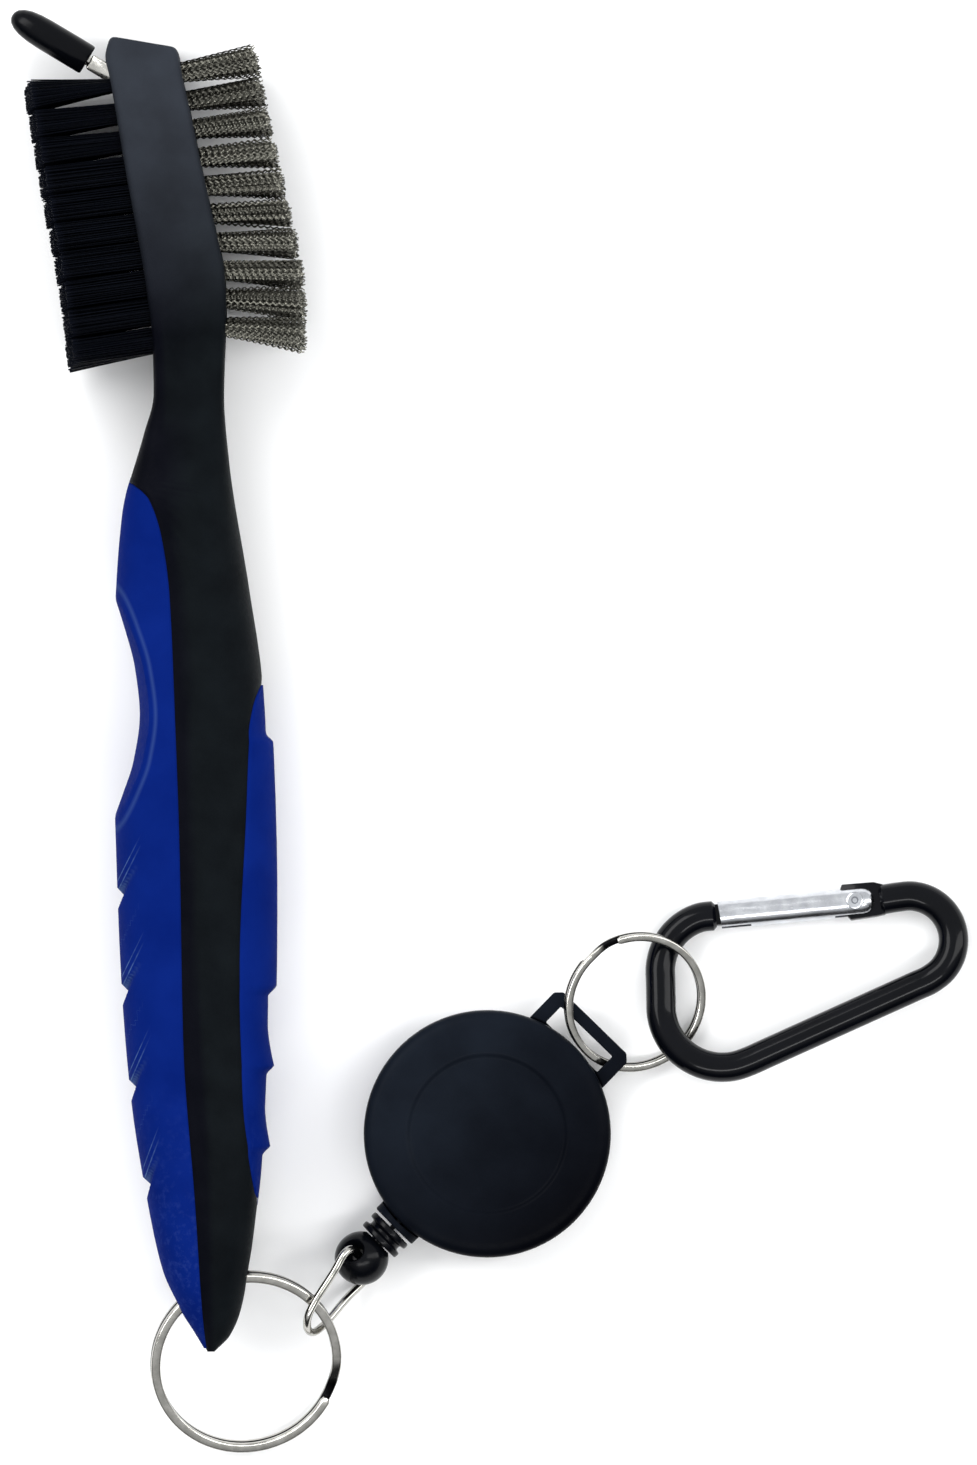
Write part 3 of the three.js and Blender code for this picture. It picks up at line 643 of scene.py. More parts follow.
def handle_surface(y, angle, inset=0.0):
    """Points of the handle's skin. Angle 0 is the back (+X), pi is the front (-X), pi/2 is the upper side."""
    y, angle = np.broadcast_arrays(np.asarray(y, float), np.asarray(angle, float))
    power = section_power(y)
    cosine, sine = np.cos(angle), np.sin(angle)
    facing = np.abs(cosine) ** power
    middle, reach_x = section_middle(y)
    reach_z = half_width(y)
    x = middle + reach_x * np.sign(cosine) * facing
    z = reach_z * np.sign(sine) * np.abs(sine) ** power
    x = x + np.where(cosine > 0, (lip_relief(y) + finger_pad(y)) * facing ** 6, 0)
    normal_x = np.abs(cosine) ** (2 - power) / reach_x
    normal_z = np.abs(sine) ** (2 - power) / reach_z
    size = np.hypot(normal_x, normal_z) + 1e-9
    normal_x, normal_z = np.sign(cosine) * normal_x / size, np.sign(sine) * normal_z / size
    sunk = np.asarray(inset, float) + 1.1 * groove_share(x - front_line(y), y) * (cosine < 0)
    x = x - normal_x * sunk
    z = z - normal_z * sunk
    dish = thumb_dish(y) + 0.012 * z * z + np.asarray(inset, float)
    blend = 0.25
    gap = np.clip((x - dish + blend) / (2 * blend), 0, 1)
    scooped = np.maximum(x, dish) + blend * gap * (1 - gap) * 0.5
    x = np.where((cosine < 0) & (y > 70) & (y < 118), scooped, x)
    slant = smoothstep(y, 183, HANDLE_LENGTH)
    return np.stack([x, y - 0.17 * (x + 14.6) * slant, z], -1)


def seam_angles(y):
    """The angles of the back and front seams on the upper side of each section."""
    power = section_power(y)
    middle, reach = section_middle(y)
    to_front = np.clip((middle - front_seam(y)) / reach, 0, 1) ** (1 / power)
    to_back = np.clip((back_seam(y) - middle) / reach, 0, 1) ** (1 / power)
    return np.arccos(to_back), np.pi - np.arccos(to_front)


def handle_levels(low, high, step, fine_spots=(), fine=0.22, reach=2.6):
    levels = list(np.arange(low, high, step)) + [high]
    for spot in fine_spots:
        levels += list(np.arange(spot - reach, spot + reach, fine))
    levels = np.unique(np.round([v for v in levels if low <= v <= high], 3))
    keep = np.concatenate([[True], np.diff(levels) > 0.08])
    return levels[keep]


def core_mesh():
    levels = handle_levels(0, HANDLE_LENGTH, 0.9, (2, NOTCH_FLOOR), 0.3)
    levels = np.concatenate([levels[levels < 193.6], np.arange(193.65, HANDLE_LENGTH, 0.1), [HANDLE_LENGTH]])
    back_angle, front_angle = seam_angles(levels)
    back_angle = np.clip(back_angle, 0.45, 1.4)
    front_angle = np.clip(front_angle, 1.6, pi - 0.5)
    near_end = np.sin(np.linspace(0, np.pi / 2, 11))[:-1]
    both_ends = (0.5 - 0.5 * np.cos(np.linspace(0, np.pi, 27)))[:-1]
    near_start = 1 - np.cos(np.linspace(0, np.pi / 2, 15))
    upper = np.concatenate([
        back_angle[:, None] * near_end,
        back_angle[:, None] + (front_angle - back_angle)[:, None] * both_ends,
        front_angle[:, None] + (pi - front_angle)[:, None] * near_start,
    ], 1)
    angles = np.concatenate([upper, 2 * pi - upper[:, -2:0:-1]], 1)
    y = levels[:, None]
    plain = handle_surface(y, angles)
    in_front = np.where(y < FRONT_SEAM_TOP, front_seam(y) - plain[..., 0], -9)
    beside_back = (y > BACK_SEAM_LOW) & (y < BACK_SEAM_TOP)
    in_back = np.where(beside_back, plain[..., 0] - back_seam(y), -9)
    inside = np.maximum(in_front, in_back)
    dive = 0.6 * smoothstep(inside, 0, 0.8) + 0.14 * np.exp(-(inside / 0.28) ** 2)
    ahead_of_crease = crease(y) - plain[..., 0]
    ridge = 0.22 * np.clip(1 - np.abs(ahead_of_crease) / 1.6, 0, 1) * smoothstep(y, 2, 14)
    ridge = ridge * (1 - smoothstep(y, 112, 134)) * (ahead_of_crease > 0) * (inside < 0)
    edge = np.clip((HANDLE_LENGTH - y) / END_RADIUS, 0, 1)
    rounding = END_RADIUS * quarter_round(edge) * (y > 190)
    rings = handle_surface(y, angles, dive + ridge + rounding)
    return loft(rings)


def grip_mesh(low, high, front, fine_spots):
    levels = handle_levels(low, high, 0.7, fine_spots)
    back_angle, front_angle = seam_angles(levels)
    columns = np.sin(np.linspace(-np.pi / 2, np.pi / 2, 57))
    if front:
        angles = pi + columns * (pi - front_angle)[:, None]
    else:
        angles = columns * back_angle[:, None]
    y = levels[:, None]
    flat = handle_surface(y, angles)
    steps = np.linalg.norm(np.diff(flat, axis=1), axis=2)
    travelled = np.concatenate([np.zeros((len(levels), 1)), np.cumsum(steps, 1)], 1)
    total = travelled[:, -1:]
    from_edge = np.minimum(travelled, total - travelled)
    corner = np.minimum(0.55, total / 5 + 0.02)
    bend = np.clip(from_edge / corner, 0, 1)
    outer = handle_surface(y, angles, corner * quarter_round(bend) - GRIP_PROUD)
    inner = handle_surface(y, angles, np.minimum(1.7, total / 6 + 0.06) + 0 * angles)
    return loft(np.concatenate([outer, inner[:, ::-1]], 1))


def store(mesh, name, values):
    """Keeps a number at each point of a mesh."""
    mesh.attributes.new(name, "FLOAT", "POINT").data.foreach_set("value", values.astype(np.float32))


def mark(target, place, measure):
    """Stores a measure, under its own name, at each point of a piece, in the piece's millimetres."""
    to_piece = millimetres(place).inverted()
    points = np.array([to_piece @ vertex.co for vertex in target.data.vertices])
    store(target.data, measure.__name__, measure(*points.T))


def above_groove(x, y, z):
    """Distance along the brush from the nearest chevron groove's line, drawn at the streaks' slope."""
    slanted = y - 1.85 * (x - front_line(y))
    return min_by_size([slanted - groove for groove in GROOVES])


def min_by_size(distances):
    stacked = np.stack(distances)
    nearest = np.abs(stacked).argmin(0)
    return stacked[nearest, np.arange(stacked.shape[1])]


def near_front(x, y, z):
    """1 at the front edge, falling to 0 where the streaks end."""
    return np.clip((3.6 - (x - front_line(y))) / 2.4, 0, 1)


def from_dish(x, y, z):
    """Distance behind the thumb dish's wall."""
    return x - thumb_dish(y) - 0.012 * z * z


# how deep a point lies in the chevron grooves, where the grip's painted highlight goes
def groove_glint_share(x, y, z):
    return np.clip(groove_share(x - front_line(y), y), 0, 1)


def lit_facet_share(x, y, z):
    """0 on the core's front facet and 1 behind its crease: the share of the core's painted light against its
    painted shade.
    """
    return smoothstep(x - crease(y), -0.2, 1.2)


HOLE = Vector((0.9, 10.2, 0))
HOLE_TILT = radians(20)
SPIKE_PIVOT = (-10.3, 186.25)
SLOT_HALF = 1.25
NOTCH_HALF = 2.65
NOTCH_BACK = -12.2
NOTCH_FLOOR = 192.4
BEFORE_HEAD = -17
ABOVE_HEAD = 197


def hole_cutter(place):
    profile = [(0, -16), (4.4, -16), (3.2, -6.5), (3.2, 6.5), (4.4, 16), (0, 16)]
    turn = Matrix.Translation(TAIL + HOLE) @ Matrix.Rotation(HOLE_TILT, 4, "Z") @ ALONG_X
    return new_object(f"cutter_{place}", *turned(rounded(profile, 0.8), 40), turn)


def slot_cutters():
    """The spike's slot, open at the head's front and top, and the notch that lets the capped spike pass."""
    x, y = SPIKE_PIVOT
    slot = [(BEFORE_HEAD, y + 1.6), (x - 0.8, y - 2.3)] + arc(x, y, 2.4, -105, -38, 8)
    slot += [(x + 1.9, ABOVE_HEAD), (BEFORE_HEAD, ABOVE_HEAD)]
    notch = rectangle(BEFORE_HEAD, NOTCH_FLOOR, NOTCH_BACK, ABOVE_HEAD)
    return [
        new_object("cutter_slot", *plate(slot, -SLOT_HALF, SLOT_HALF), BRUSH_FRAME),
        new_object("cutter_notch", *plate(notch, -NOTCH_HALF, NOTCH_HALF), BRUSH_FRAME),
    ]


def make_handle(core_look, grip_look):
    core = new_object("core_moulding", *core_mesh(), BRUSH_FRAME)
    boolean(core, [hole_cutter("core"), *slot_cutters()])
    mark(core, BRUSH_FRAME, lit_facet_share)
    finish_piece(core, core_look, "brush", "core_plastic", "handle_core")
    front_spots = [g + 0.6 for g in GROOVES] + [g + 3.4 for g in GROOVES] + [128]
    front = new_object("front_soft_grip", *grip_mesh(0.5, 129.4, True, front_spots), BRUSH_FRAME)
    boolean(front, [hole_cutter("grip")])
    for measure in (above_groove, near_front, from_dish, groove_glint_share):
        mark(front, BRUSH_FRAME, measure)
    finish_piece(front, grip_look, "brush", "soft_grip", "front_grip")
    back_spots = [22, 53.5, 91, 98] + [lip - 0.6 for lip in LIPS]
    back = new_object("back_soft_grip", *grip_mesh(21.7, 98.6, False, back_spots), BRUSH_FRAME)
    finish_piece(back, grip_look, "brush", "soft_grip", "back_grip")


# ---- tufts
TUFT_ROWS = 10
GOLDEN_ANGLE = 2.399963


def nylon_row(row):
    t = (row - 1) / (TUFT_ROWS - 1)
    y = 187.2 + (149.6 - 187.2) * t
    angle = radians(186.4 + (188.6 - 186.4) * t)
    return float(front_line(y)), y, angle, 12.0


def steel_row(row):
    t = (row - 1) / (TUFT_ROWS - 1)
    y = 189.3 + (151.6 - 189.3) * t
    angle = radians(11.5 - 14.5 * t ** 0.9)
    return float(back_line(y)), y, angle, 10.8 + 0.6 * t


def strands(paths, radius, sides, taper=1.0):
    """Tubes over many paths at once: an array of (strand, point, 3)."""
    count, points = paths.shape[:2]
    tangents = np.gradient(paths, axis=1)
    tangents /= np.linalg.norm(tangents, axis=2)[..., None]
    side = np.cross(tangents, np.array([0.13, 0.21, 0.97]))
    side /= np.linalg.norm(side, axis=2)[..., None]
    other = np.cross(tangents, side)
    angles = 2 * np.pi * np.arange(sides) / sides
    sizes = radius * np.linspace(1, taper, points)[None, :, None, None]
    offsets = (np.cos(angles)[None, None, :, None] * side[:, :, None]
               + np.sin(angles)[None, None, :, None] * other[:, :, None])
    vertices = paths[:, :, None] + sizes * offsets
    faces = []
    for strand in range(count):
        base = strand * points * sides
        for ring in range(points - 1):
            faces += band(base + ring * sides, sides)
        faces.append(tuple(base + i for i in range(sides))[::-1])
        last = base + (points - 1) * sides
        faces.append(tuple(last + i for i in range(sides)))
    return vertices, faces


def strand_object(name, paths, radius, sides, taper=1.0):
    mesh = new_mesh(name, *strands(paths, radius, sides, taper))
    mesh.transform(millimetres(BRUSH_FRAME))
    count, points = paths.shape[:2]
    shade = np.repeat(RNG.random(count), points * sides)
    along = np.tile(np.repeat(np.linspace(0, 1, points), sides), count)
    store(mesh, "strand", shade)
    store(mesh, "along", along)
    made = placed(name, mesh)
    smooth(made, radians(75))
    return made


def tuft_paths(place, spot, count, root, tip, points, droop=0.0, ragged=0.02, crimp=None, spread=0.1):
    """The strands of one tuft, spread like sunflower seeds. Root and tip are (across, up) half widths."""
    x, y, angle, length = place
    ahead = np.array([cos(angle), sin(angle), 0.0])
    across = np.array([-ahead[1], ahead[0], 0.0]) * (1 if ahead[0] > 0 else -1)
    up = np.array([0.0, 0.0, 1.0])
    seeds = np.arange(count)
    reach = np.sqrt((seeds + 0.5) / count)
    turn = seeds * GOLDEN_ANGLE + RNG.uniform(0, 6.28)
    disc = np.stack([reach * np.cos(turn), reach * np.sin(turn)], 1)
    start = disc * root
    end = disc * tip + RNG.normal(0, spread, (count, 2)) - [droop, 0]
    lengths = length * (1 + RNG.uniform(-ragged, 0.6 * ragged, count))
    t = np.linspace(0, 1, points)[None, :, None]
    lateral = start[:, None] + (end - start)[:, None] * (t * 0.8 + 0.2 * t * t)
    distance = -1.2 + (lengths[:, None, None] + 1.2) * t
    paths = np.array([x, y, spot]) + ahead * distance + across * lateral[..., :1] + up * lateral[..., 1:]
    if crimp:
        size, wave = crimp
        phase = (disc @ [3.2, 2.2] + RNG.uniform(0, 6.28) + RNG.normal(0, 0.5, count))[:, None, None]
        lean = RNG.uniform(0, pi, count)[:, None, None]
        swing = size * np.sin(2 * pi * distance / wave + phase) * np.clip(t * 8, 0, 1)
        paths = paths + swing * (np.cos(lean) * across + np.sin(lean) * up)
    return paths


# Each column of tufts: its height, how much longer it is and how far it droops towards the tail.
NYLON_COLUMNS = ((-7.8, 0.9, 0.8), (-2.6, 0.6, 0.5), (2.6, 0.3, 0.2), (7.8, -0.2, 0.0))
STEEL_COLUMNS = ((-6.2, 0.3, 1.3), (0.0, 0.15, 0.6), (6.2, 0.0, 0.0))
CRIMP = (0.17, 0.95)  # the crimp's size and wavelength


def make_tufts(nylon_look, wire_look):
    for row in range(1, TUFT_ROWS + 1):
        x, y, angle, length = nylon_row(row)
        root = (0.8, 1.3) if row == 1 else (1.45 if row < 4 else 1.95, 1.4)
        inward = float(min(1, (half_width(y) - 1.7) / 9.2))
        paths = [
            tuft_paths((x, y, angle, length + extra), z * inward, 84, root, (2.0, 2.8), 6, droop)
            for z, extra, droop in NYLON_COLUMNS
        ]
        tuft = strand_object(f"nylon_bristles_{row:02d}", np.concatenate(paths), 0.125, 5, 0.85)
        finish_piece(tuft, nylon_look, "brush", "nylon", f"nylon_tufts_row_{row:02d}")
        x, y, angle, length = steel_row(row)
        tip = (1.6, 3.0) if row < 9 else (2.1, 3.0)
        paths = [
            tuft_paths((x, y, angle, length + extra), z, 46, (1.3, 1.4), tip, 74, droop, 0.05, CRIMP, 0.16)
            for z, extra, droop in STEEL_COLUMNS
        ]
        tuft = strand_object(f"crimped_wires_{row:02d}", np.concatenate(paths), 0.11, 3)
        finish_piece(tuft, wire_look, "brush", "crimped_wire", f"steel_tufts_row_{row:02d}")


# ---- spike
SPIKE_ANGLE = radians(148.9)


def make_spike(steel_look, cap_look):
    pivot = TAIL + Vector((*SPIKE_PIVOT, 0))
    place = Matrix.Translation(pivot) @ Matrix.Rotation(SPIKE_ANGLE, 4, "Z")
    outline = arc(0, 0, 2.05, 36, 324, 28) + [(8.7, -1.2), (8.9, -0.9), (8.9, 0.9), (8.7, 1.2)]
    blade = new_object("spike", *plate(outline, -0.88, 0.88), place)
    hole = cylinder("cutter_pin", 1.2, -3, 3, place)
    boolean(blade, [hole])
    bevel(blade, 0.2, 2)
    profile = [(0, 8.2), (0.78, 8.2), (0.78, 17.6), (0.5, 19.6), (0.15, 20.5), (0, 20.6)]
    point = new_object("cutter_point", *turned(profile, 24), place @ ALONG_X)
    boolean(blade, [point], "UNION")
    finish_piece(blade, steel_look, "spike", "plated_steel", "spike_blade")
    wall = [
        (1.3, 9.2), (2.05, 9.2), (2.24, 9.32), (2.3, 9.6), (2.31, 12), (2.3, 16.5), (2.22, 18.4), (2.0, 19.9),
        (1.63, 21.0), (1.12, 21.75), (0.56, 22.12), (0, 22.2), (0, 21.1), (1.3, 21.1),
    ]
    cap = new_object("spike_cap_moulding", *turned(wall, 40), place @ ALONG_X)
    finish_piece(cap, cap_look, "cap", "black_fitting", "spike_cap")


# ---- split rings
def split_ring(radius, strip, turn_height, start):
    """Two flat turns of rounded strip wire joined by a short crossover, lying in the XY plane."""
    crossover, spare = radians(24), radians(4)
    offset = turn_height / 2 + 0.05
    low = start + crossover / 2 + spare
    high = start + 4 * pi - crossover / 2 - spare
    middle = start + 2 * pi
    aside = 10  # keeps the section clear of the axis, where corners aren't rounded
    outline = rectangle(aside - strip / 2, -turn_height / 2, aside + strip / 2, turn_height / 2)
    section = np.array(rounded(outline, 0.3)) - [aside, 0]
    angles = np.linspace(low, high, 260)
    rise = -offset + 2 * offset * smoothstep(angles, middle - crossover / 2, middle + crossover / 2)
    from_end = np.minimum(angles - low, high - angles) * radius
    shrink = 1 - 0.35 * (1 - np.clip(from_end / 0.5, 0, 1)) ** 2
    rings = []
    for angle, height, size in zip(angles, rise, shrink):
        out = np.array([cos(angle), sin(angle), 0])
        rings.append([out * (radius + u * size) + [0, 0, height + v * size] for u, v in section])
    return loft(rings)


BIG_RING_RADIUS = 13.5
RING_X = Vector((cos(HOLE_TILT), sin(HOLE_TILT), 0))
ACROSS_HOLE = Vector((-sin(HOLE_TILT), cos(HOLE_TILT), 0))
BIG_TILT = radians(22)
RING_Y = ACROSS_HOLE * cos(BIG_TILT) + Vector((0, 0, sin(BIG_TILT)))
BIG_RING_CENTRE = TAIL + HOLE - RING_Y * BIG_RING_RADIUS
BIG_RING_START = radians(-30)
SMALL_RING_CENTRE = Vector((21.2, -39.53, 5.2))
SMALL_RING_HEADING = radians(40)
SMALL_TILT = radians(23.5)
SMALL_RING_START = radians(84)


def between_turns(x, y, z):
    """How near a point is to the gap between a ring's two turns, where the rings' painted shade goes."""
    return 1 - smoothstep(np.abs(z), 0.16, 0.42)


def make_ring(look, name, ring, place, body, node):
    made = new_object(name, *ring, place, radians(50))
    mark(made, place, between_turns)
    finish_piece(made, look, body, "plated_steel", node)


def make_rings(look):
    turn = Matrix((RING_X, RING_Y, RING_X.cross(RING_Y))).transposed().to_4x4()
    place = Matrix.Translation(BIG_RING_CENTRE) @ turn
    big = split_ring(BIG_RING_RADIUS, 1.4, 0.95, BIG_RING_START)
    make_ring(look, "tail_split_ring", big, place, "handle_ring", "handle_split_ring")
    turn = Matrix.Rotation(SMALL_RING_HEADING, 4, "Z") @ Matrix.Rotation(SMALL_TILT, 4, "X")
    place = Matrix.Translation(SMALL_RING_CENTRE) @ turn
    small = split_ring(10.2, 1.15, 0.7, SMALL_RING_START)
    make_ring(look, "strap_split_ring", small, place, "reel_ring", "reel_split_ring")


# ---- cord end
REEL_CENTRE = Vector((-0.66, -59.05, 0))
REEL_DEPTH = 10.6
REEL_MID = REEL_DEPTH / 2
REEL_RADIUS = 18.3
CORD_ANGLE = radians(224.7)
CORD_FRAME = Matrix.Translation(REEL_CENTRE + Vector((0, 0, REEL_MID))) @ Matrix.Rotation(CORD_ANGLE, 4, "Z")
CORD_AXLE = CORD_FRAME @ ALONG_X
BALL_REACH = 26.2
BALL_RADIUS = 4.0
BALL_CENTRE = CORD_FRAME @ Vector((BALL_REACH, 0, 0))
BALL_ROLL = radians(27.4)
BALL_HOLE_AXIS = (Vector((-sin(CORD_ANGLE), cos(CORD_ANGLE), 0)) * -sin(BALL_ROLL)
                  + Vector((0, 0, cos(BALL_ROLL))))
LINK_ANGLE = radians(15.5)
SEAT_RADIUS = 3.4
SEAT_SHIFT = 0.3


def make_link(look):
    seat = (BIG_RING_CENTRE + RING_X * BIG_RING_RADIUS * cos(LINK_ANGLE)
            + RING_Y * BIG_RING_RADIUS * sin(LINK_ANGLE))
    reach = seat - BALL_CENTRE
    length = reach.length
    ahead = reach.normalized()
    across = (BALL_HOLE_AXIS - ahead * BALL_HOLE_AXIS.dot(ahead)).normalized()

    def place(side, forward):
        return BALL_CENTRE + across * side + ahead * forward

    def through_ball(distance, forward=0.0):
        return BALL_CENTRE + BALL_HOLE_AXIS * distance + ahead * forward

    bend = [
        place(-SEAT_RADIUS * sin(a) - SEAT_SHIFT, length + SEAT_RADIUS * cos(a))
        for a in map(radians, (-80, -40, 0, 40, 80))
    ]
    points = [
        through_ball(0.0), through_ball(1.5), through_ball(2.8),
        through_ball(4.6, 0.15), through_ball(5.3, 1.3),
        place(4.2, length * 0.55), *bend, place(-4.2, length * 0.5), through_ball(-5.3, 1.3),
        through_ball(-4.6, 0.15), through_ball(-2.8), through_ball(-1.5), through_ball(-0.2),
    ]
    path = resampled(spline(points), 150)
    link = new_object("bent_wire_link", *loft(tube(path, 0.6, 18)))
    finish_piece(link, look, "link", "plated_steel", "wire_link")


def make_cord_end(look):
    ball_arc = [
        (BALL_RADIUS * sin(radians(a)), BALL_REACH + BALL_RADIUS * cos(radians(a)))
        for a in np.linspace(0, 146, 30)
    ]
    profile = ball_arc + [(2.15, 22.95), (1.2, 22.95), (1.2, 20.1), (0.75, 20.1), (0.75, 24.6), (0, 24.6)]
    ball = new_object("cord_end_ball", *turned(profile, 72), CORD_AXLE)
    flare = [(1.25, 2.9), (1.95, 3.9), (2.4, 5), (0, 5)]
    funnel = [(r, -h) for r, h in flare[::-1]] + [(1.2, 0)] + flare
    turn = Vector((0, 0, 1)).rotation_difference(BALL_HOLE_AXIS).to_matrix().to_4x4()
    cutter = new_object("cutter_ball", *turned(funnel, 40), Matrix.Translation(BALL_CENTRE) @ turn)
    boolean(ball, [cutter])
    finish_piece(ball, look, "cord_end", "black_fitting", "cord_ball")
    ribs = rounded([
        (1.6, 19.9), (3.45, 19.9), (3.5, 20.8), (2.7, 20.95),
        (2.7, 21.65), (3.45, 21.8), (3.4, 22.7), (1.6, 22.7),
    ], 0.28, 4)
    sleeve = new_object("sleeve_with_ribs", *turned(ribs, 64), CORD_AXLE)
    finish_piece(sleeve, look, "cord_end", "black_fitting", "ribbed_sleeve")


CORD_ROUTE = [
    (11.5, 8.8, -0.6), (13.2, 5.9, -0.4), (14.8, 3.0, -0.1), (15.9, 1.0, 0),
    (16.9, 0.1, 0), (19, 0, 0), (21.5, 0, 0),
    (24.2, 0, 0),
]


def make_cord(look):
    """The lead from the spool to the cord end. It stretches across the pull-out slide."""
    path = resampled(spline(CORD_ROUTE), 90)
    lead = new_object("lead_cord", *loft(tube(path, 0.4, 10)), CORD_FRAME)
    finish_piece(lead, look, None, "cord", "cord_lead")
    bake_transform(lead)


# ---- reel
REEL_FRAME = Matrix.Translation(REEL_CENTRE) @ Matrix.Rotation(CORD_ANGLE, 4, "Z")
WALL = 1.35
RECESS_RADIUS = 11.35
LOOP_HALF = 0.85
LOOP_HEADING = radians(-178.9)
BACK_TOP = REEL_MID - 0.15  # the shells meet with a fine gap between them
FRONT_FOOT = REEL_MID + 0.15
INSIDE_RADIUS = REEL_RADIUS - WALL


def cut_cord_bore(shell, name):
    """The cord's way out through the reel's wall and neck."""
    boolean(shell, [cylinder(name, 0.95, 14, 22, CORD_AXLE)])


def cut_shell_room(fitting, name):
    """Takes away what would reach into the front shell or the reel's inside."""
    boolean(fitting, [cylinder(name, 18.62, BACK_TOP, 14, REEL_FRAME, 128)])
    return fitting


def make_front_shell(look):
    front = [
        (0, 8.75), (16.6, 8.75), (INSIDE_RADIUS, 8.3), (INSIDE_RADIUS, FRONT_FOOT),
        (REEL_RADIUS, FRONT_FOOT), (REEL_RADIUS, 8.9), (18.0, 9.7),
        (17.3, 10.2), (16.3, 10.45), (14.2, REEL_DEPTH),
        (RECESS_RADIUS + 0.6, REEL_DEPTH), (RECESS_RADIUS, 10.1), (0, 10.1),
    ]
    shell = new_object("reel_front_case", *turned(rounded(front, 0.5), 128), REEL_FRAME)
    cut_cord_bore(shell, "cutter_bore")
    finish_piece(shell, look, "reel", "reel_casing", "reel_front_shell")


def cord_collar():
    profile = rounded(rectangle(0.95, 17.6, 3.75, 19.5), 0.3, 4)
    collar = new_object("cutter_collar", *turned(profile, 48), CORD_AXLE)
    return cut_shell_room(collar, "cutter_room")


def strap_loop():
    place = REEL_FRAME @ Matrix.Rotation(LOOP_HEADING, 4, "Z")
    outline = [(16.6, -7.5), (21.9, -7.5), (22.9, -6.5), (22.9, 6.5), (21.9, 7.5), (16.6, 7.5)]
    loop = new_object("cutter_loop", *plate(outline, REEL_MID - LOOP_HALF, REEL_MID + LOOP_HALF), place)
    window = new_object("cutter_window", *plate(rectangle(17.9, -5.3, 21.1, 5.3), 0, 12), place)
    boolean(loop, [window])
    bevel(loop, 0.22, 3)
    return cut_shell_room(loop, "cutter_room_2")


def make_back_shell(look):
    back = [
        (0, 0.35), (12.4, 0.35), (12.9, 0), (16.9, 0),
        (17.9, 0.4), (REEL_RADIUS, 1.3), (REEL_RADIUS, BACK_TOP),
        (INSIDE_RADIUS, BACK_TOP), (INSIDE_RADIUS, 1.4), (2.2, 1.4), (2.2, 8.4), (0, 8.4),
    ]
    shell = new_object("reel_back_case", *turned(rounded(back, 0.35), 128), REEL_FRAME)
    boolean(shell, [cord_collar(), strap_loop()], "UNION")
    cut_cord_bore(shell, "cutter_bore_2")
    finish_piece(shell, look, "reel", "reel_casing", "reel_back_shell")


# ---- carabiner
CARABINER_FRAME = (Matrix.Translation((32.7, -26.8, 2.76)) @ Matrix.Rotation(radians(5.4), 4, "Z")
                   @ Matrix.Rotation(radians(-8), 4, "X"))
STOCK = 2.2
GATE_RADIUS = 2.15
HINGE_X = 21.2
TONGUE_HALF = 0.8
RIVET_FRAME = CARABINER_FRAME @ Matrix.Translation((HINGE_X, 0, 0))


def make_carabiner_body(look):
    route = [(0.5, 0.0)]
    route += arc(-0.2, -8.2, 8.3, 92, 180, 24)
    route += arc(0.2, -13.6, 9.1, 180, 289, 30)
    route += arc(28.6, -6.4, 6.65, -71, 92, 34)
    route += [(24.9, 0.0)]
    flat = resampled(np.array(route), 37)
    path = resampled(spline(np.column_stack([flat, np.zeros(len(flat))]), 8), 190)
    rod = new_object("carabiner_frame", *loft(tube(path, STOCK, 32, 0.5)), CARABINER_FRAME)
    hinge = [
        (25.6, -2.2), (24.2, -2.4), (20.4, -2.6), (19.9, -2.0),
        (19.0, 1.6), (19.5, 2.75), (24.2, 2.7), (25.6, 2.2),
    ]
    nose = [
        (-0.6, -1.5), (2.8, -1.5), (2.8, 0.9), (4.4, 0.9), (4.4, -1.2), (5.2, -1.2), (5.2, 1.6), (-0.6, 1.6),
    ]
    tongues = []
    for label, outline in (("hinge", hinge), ("nose", nose)):
        tongue = new_object(f"cutter_{label}", *plate(outline, -TONGUE_HALF, TONGUE_HALF), CARABINER_FRAME)
        tongues.append(bevel(tongue, 0.14, 2))
    boolean(rod, tongues, "UNION")
    boolean(rod, [cylinder("cutter_rivet", 0.8, -3, 3, RIVET_FRAME)])
    finish_piece(rod, look, "carabiner", "black_enamel", "carabiner_body")


def make_gate(look):
    profile = [
        (0, 0.85), (GATE_RADIUS, 0.85), (GATE_RADIUS, 22.2), (2.05, 22.9),
        (1.8, 23.5), (1.3, 23.95), (0.6, 24.15),
        (0, 24.2),
    ]
    sleeve = new_object("gate_sleeve", *turned(profile, 56), CARABINER_FRAME @ ALONG_X)
    room = TONGUE_HALF + 0.22
    slots = [
        new_object(f"cutter_gate_{k}", *plate(rectangle(a, -3, b, 3), -room, room), CARABINER_FRAME)
        for k, (a, b) in enumerate(((0, 5.6), (18.1, 26)))
    ]
    slanted_end = [(0, -3), (1.35, -3), (0.8, 3), (0, 3)]
    slots.append(new_object("cutter_gate_end", *plate(slanted_end, -3, 3), CARABINER_FRAME))
    spring_room = cylinder("cutter_gate_bore", 1.15, 7, 19, CARABINER_FRAME @ ALONG_X)
    rivet_bore = cylinder("cutter_gate_rivet", 0.75, -3, 3, RIVET_FRAME, 20)
    boolean(sleeve, [*slots, spring_room, rivet_bore])
    finish_piece(sleeve, look, "gate", "gate_aluminium", "gate_tube")


def make_rivet(look):
    head = [
        (0, 2.3), (0.35, 2.32), (0.55, 2.54), (0.95, 2.6), (1.2, 2.5), (1.28, 2.28), (1.2, 2.0), (0.65, 1.95),
    ]
    rivet = new_object("gate_rivet_pin", *turned(head + [(r, -h) for r, h in head[::-1]], 32), RIVET_FRAME)
    finish_piece(rivet, look, "carabiner", "gate_aluminium", "gate_rivet")


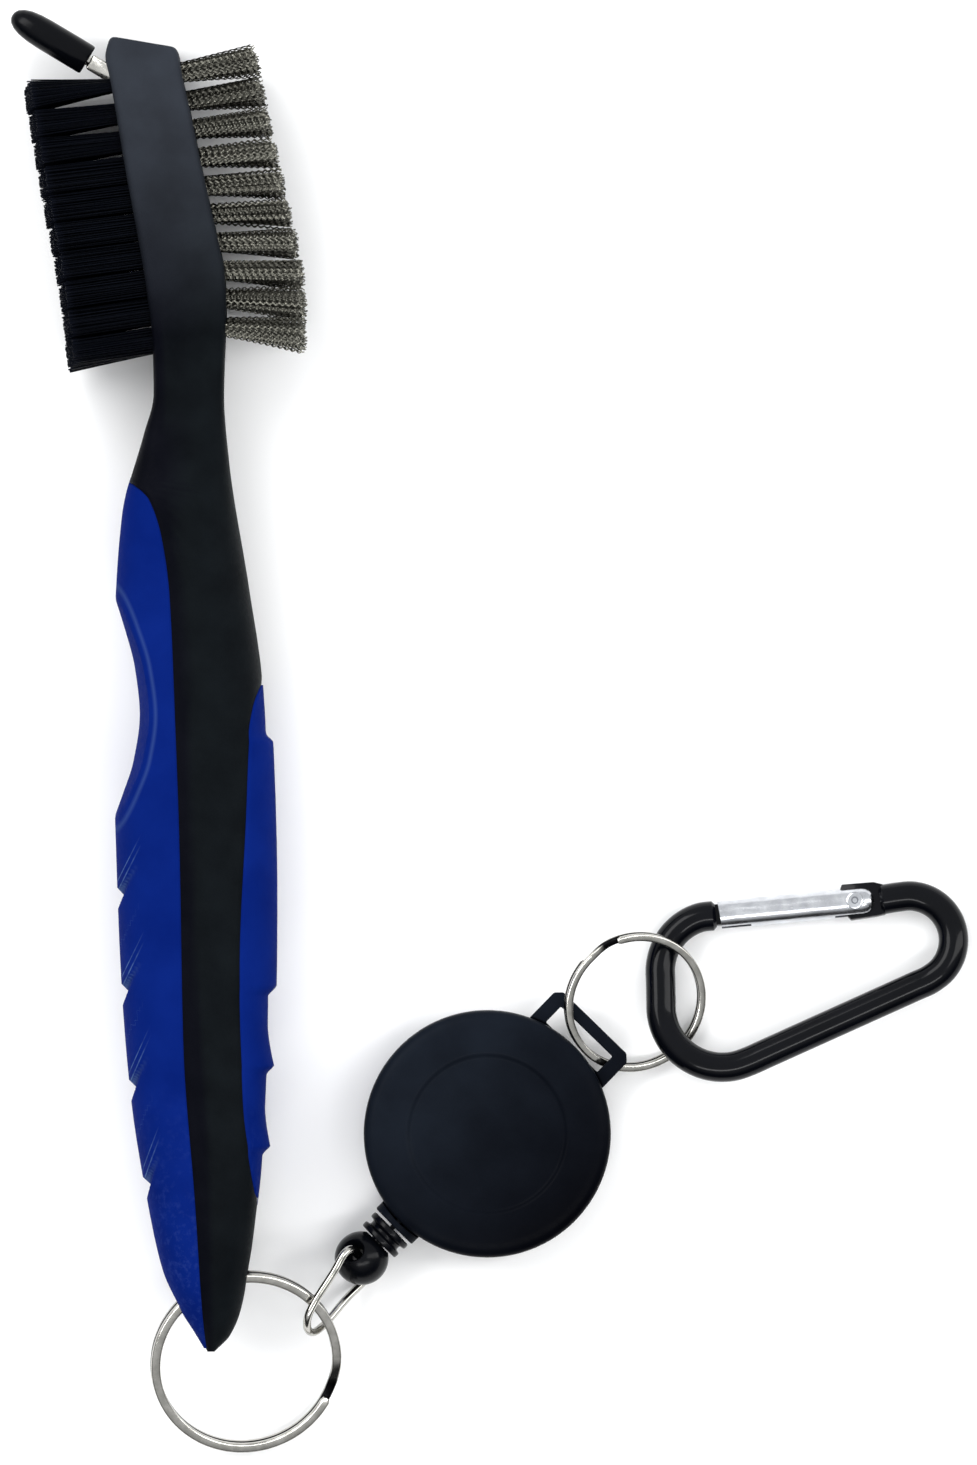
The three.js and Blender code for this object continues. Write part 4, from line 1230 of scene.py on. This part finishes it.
# ---- stage and light
def area_light(name, location, target, size, power):
    data = bpy.data.lights.new(name, "AREA")
    data.shape = "RECTANGLE"
    data.size, data.size_y = size
    data.energy = power
    light = placed(name, data)
    light.location = location
    light.rotation_euler = (Vector(target) - Vector(location)).to_track_quat("-Z", "Y").to_euler()


def make_floor():
    mesh = new_mesh("floor", *plate(rectangle(-2, -2, 2, 2), -0.02, 0))
    mesh.materials.append(floor_material())
    placed("floor", mesh)


def make_world():
    """A studio that is bright overhead and dims towards the lower side of the picture."""
    world = bpy.data.worlds.new("studio")
    bpy.context.scene.world = world
    world.use_nodes = True
    sky = Nodes(world.node_tree, "Generated")
    overhead = sky.remap(sky.part("Z"), 0.4, 0.9)
    sideways = sky.remap(sky.part("Y"), -0.45, 0.55, 0.03)
    background = sky.tree.nodes["Background"].inputs
    sky.feed(background["Strength"], sky.mix(overhead, sideways, 1.0, "FLOAT"))
    sky.feed(background["Color"], (0.97, 0.985, 1.0, 1))


def make_lights():
    area_light("key", (-0.55, 0.45, 0.8), (0, 0, 0), (0.9, 0.45), 7)
    area_light("fill", (0.75, 0.1, 0.6), (0, 0, 0), (0.3, 1.0), 4)
    area_light("low", (0.1, -0.42, 0.8), (0, -0.03, 0), (0.8, 0.12), 3)
    bpy.context.scene.view_settings.view_transform = "Standard"


# ---- build
def build():
    make_camera()
    make_cord(braided_cord())
    core = core_plastic()
    casing = casing_plastic()
    fitting = moulded_plastic("fitting_plastic", srgb(3, 4, 7), srgb(7, 8, 12), 0.2, 0.1, 0.00001)
    nickel = plated_metal("nickel_plate", srgb(168, 166, 160), srgb(196, 194, 188), 0.14)
    aluminium = plated_metal("gate_metal", srgb(180, 182, 186), srgb(206, 208, 212), 0.2, (0.08, 1, 1))
    spring_steel = plated_metal("spring_metal", srgb(128, 130, 134), srgb(150, 152, 156), 0.28)
    nylon = bristle("nylon_strands", srgb(1, 2, 4), srgb(5, 7, 13), 0.4, 0.0, srgb(14, 17, 27))
    wire = bristle("wire_strands", srgb(42, 41, 37), srgb(106, 105, 97), 0.3, 1.0, srgb(124, 123, 115))
    make_handle(core, grip_rubber())
    make_tufts(nylon, wire)
    make_spike(nickel, fitting)
    make_rings(nickel)
    make_link(nickel)
    make_cord_end(fitting)
    make_front_shell(casing)
    make_back_shell(casing)
    make_carabiner_body(enamel())
    make_gate(aluminium)
    make_rivet(aluminium)
    kept = {
        "spike_pivot_pin": nickel, "spool": pale_plastic(), "power_spring": spring_steel,
        "wound_cord": bpy.data.materials["cord_braid"], "gate_latch_pin": aluminium,
        "gate_plunger": aluminium, "gate_spring": spring_steel,
    }
    for name, look in kept.items():
        dress(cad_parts[name], look)
    make_floor()
    make_world()
    make_lights()


build()
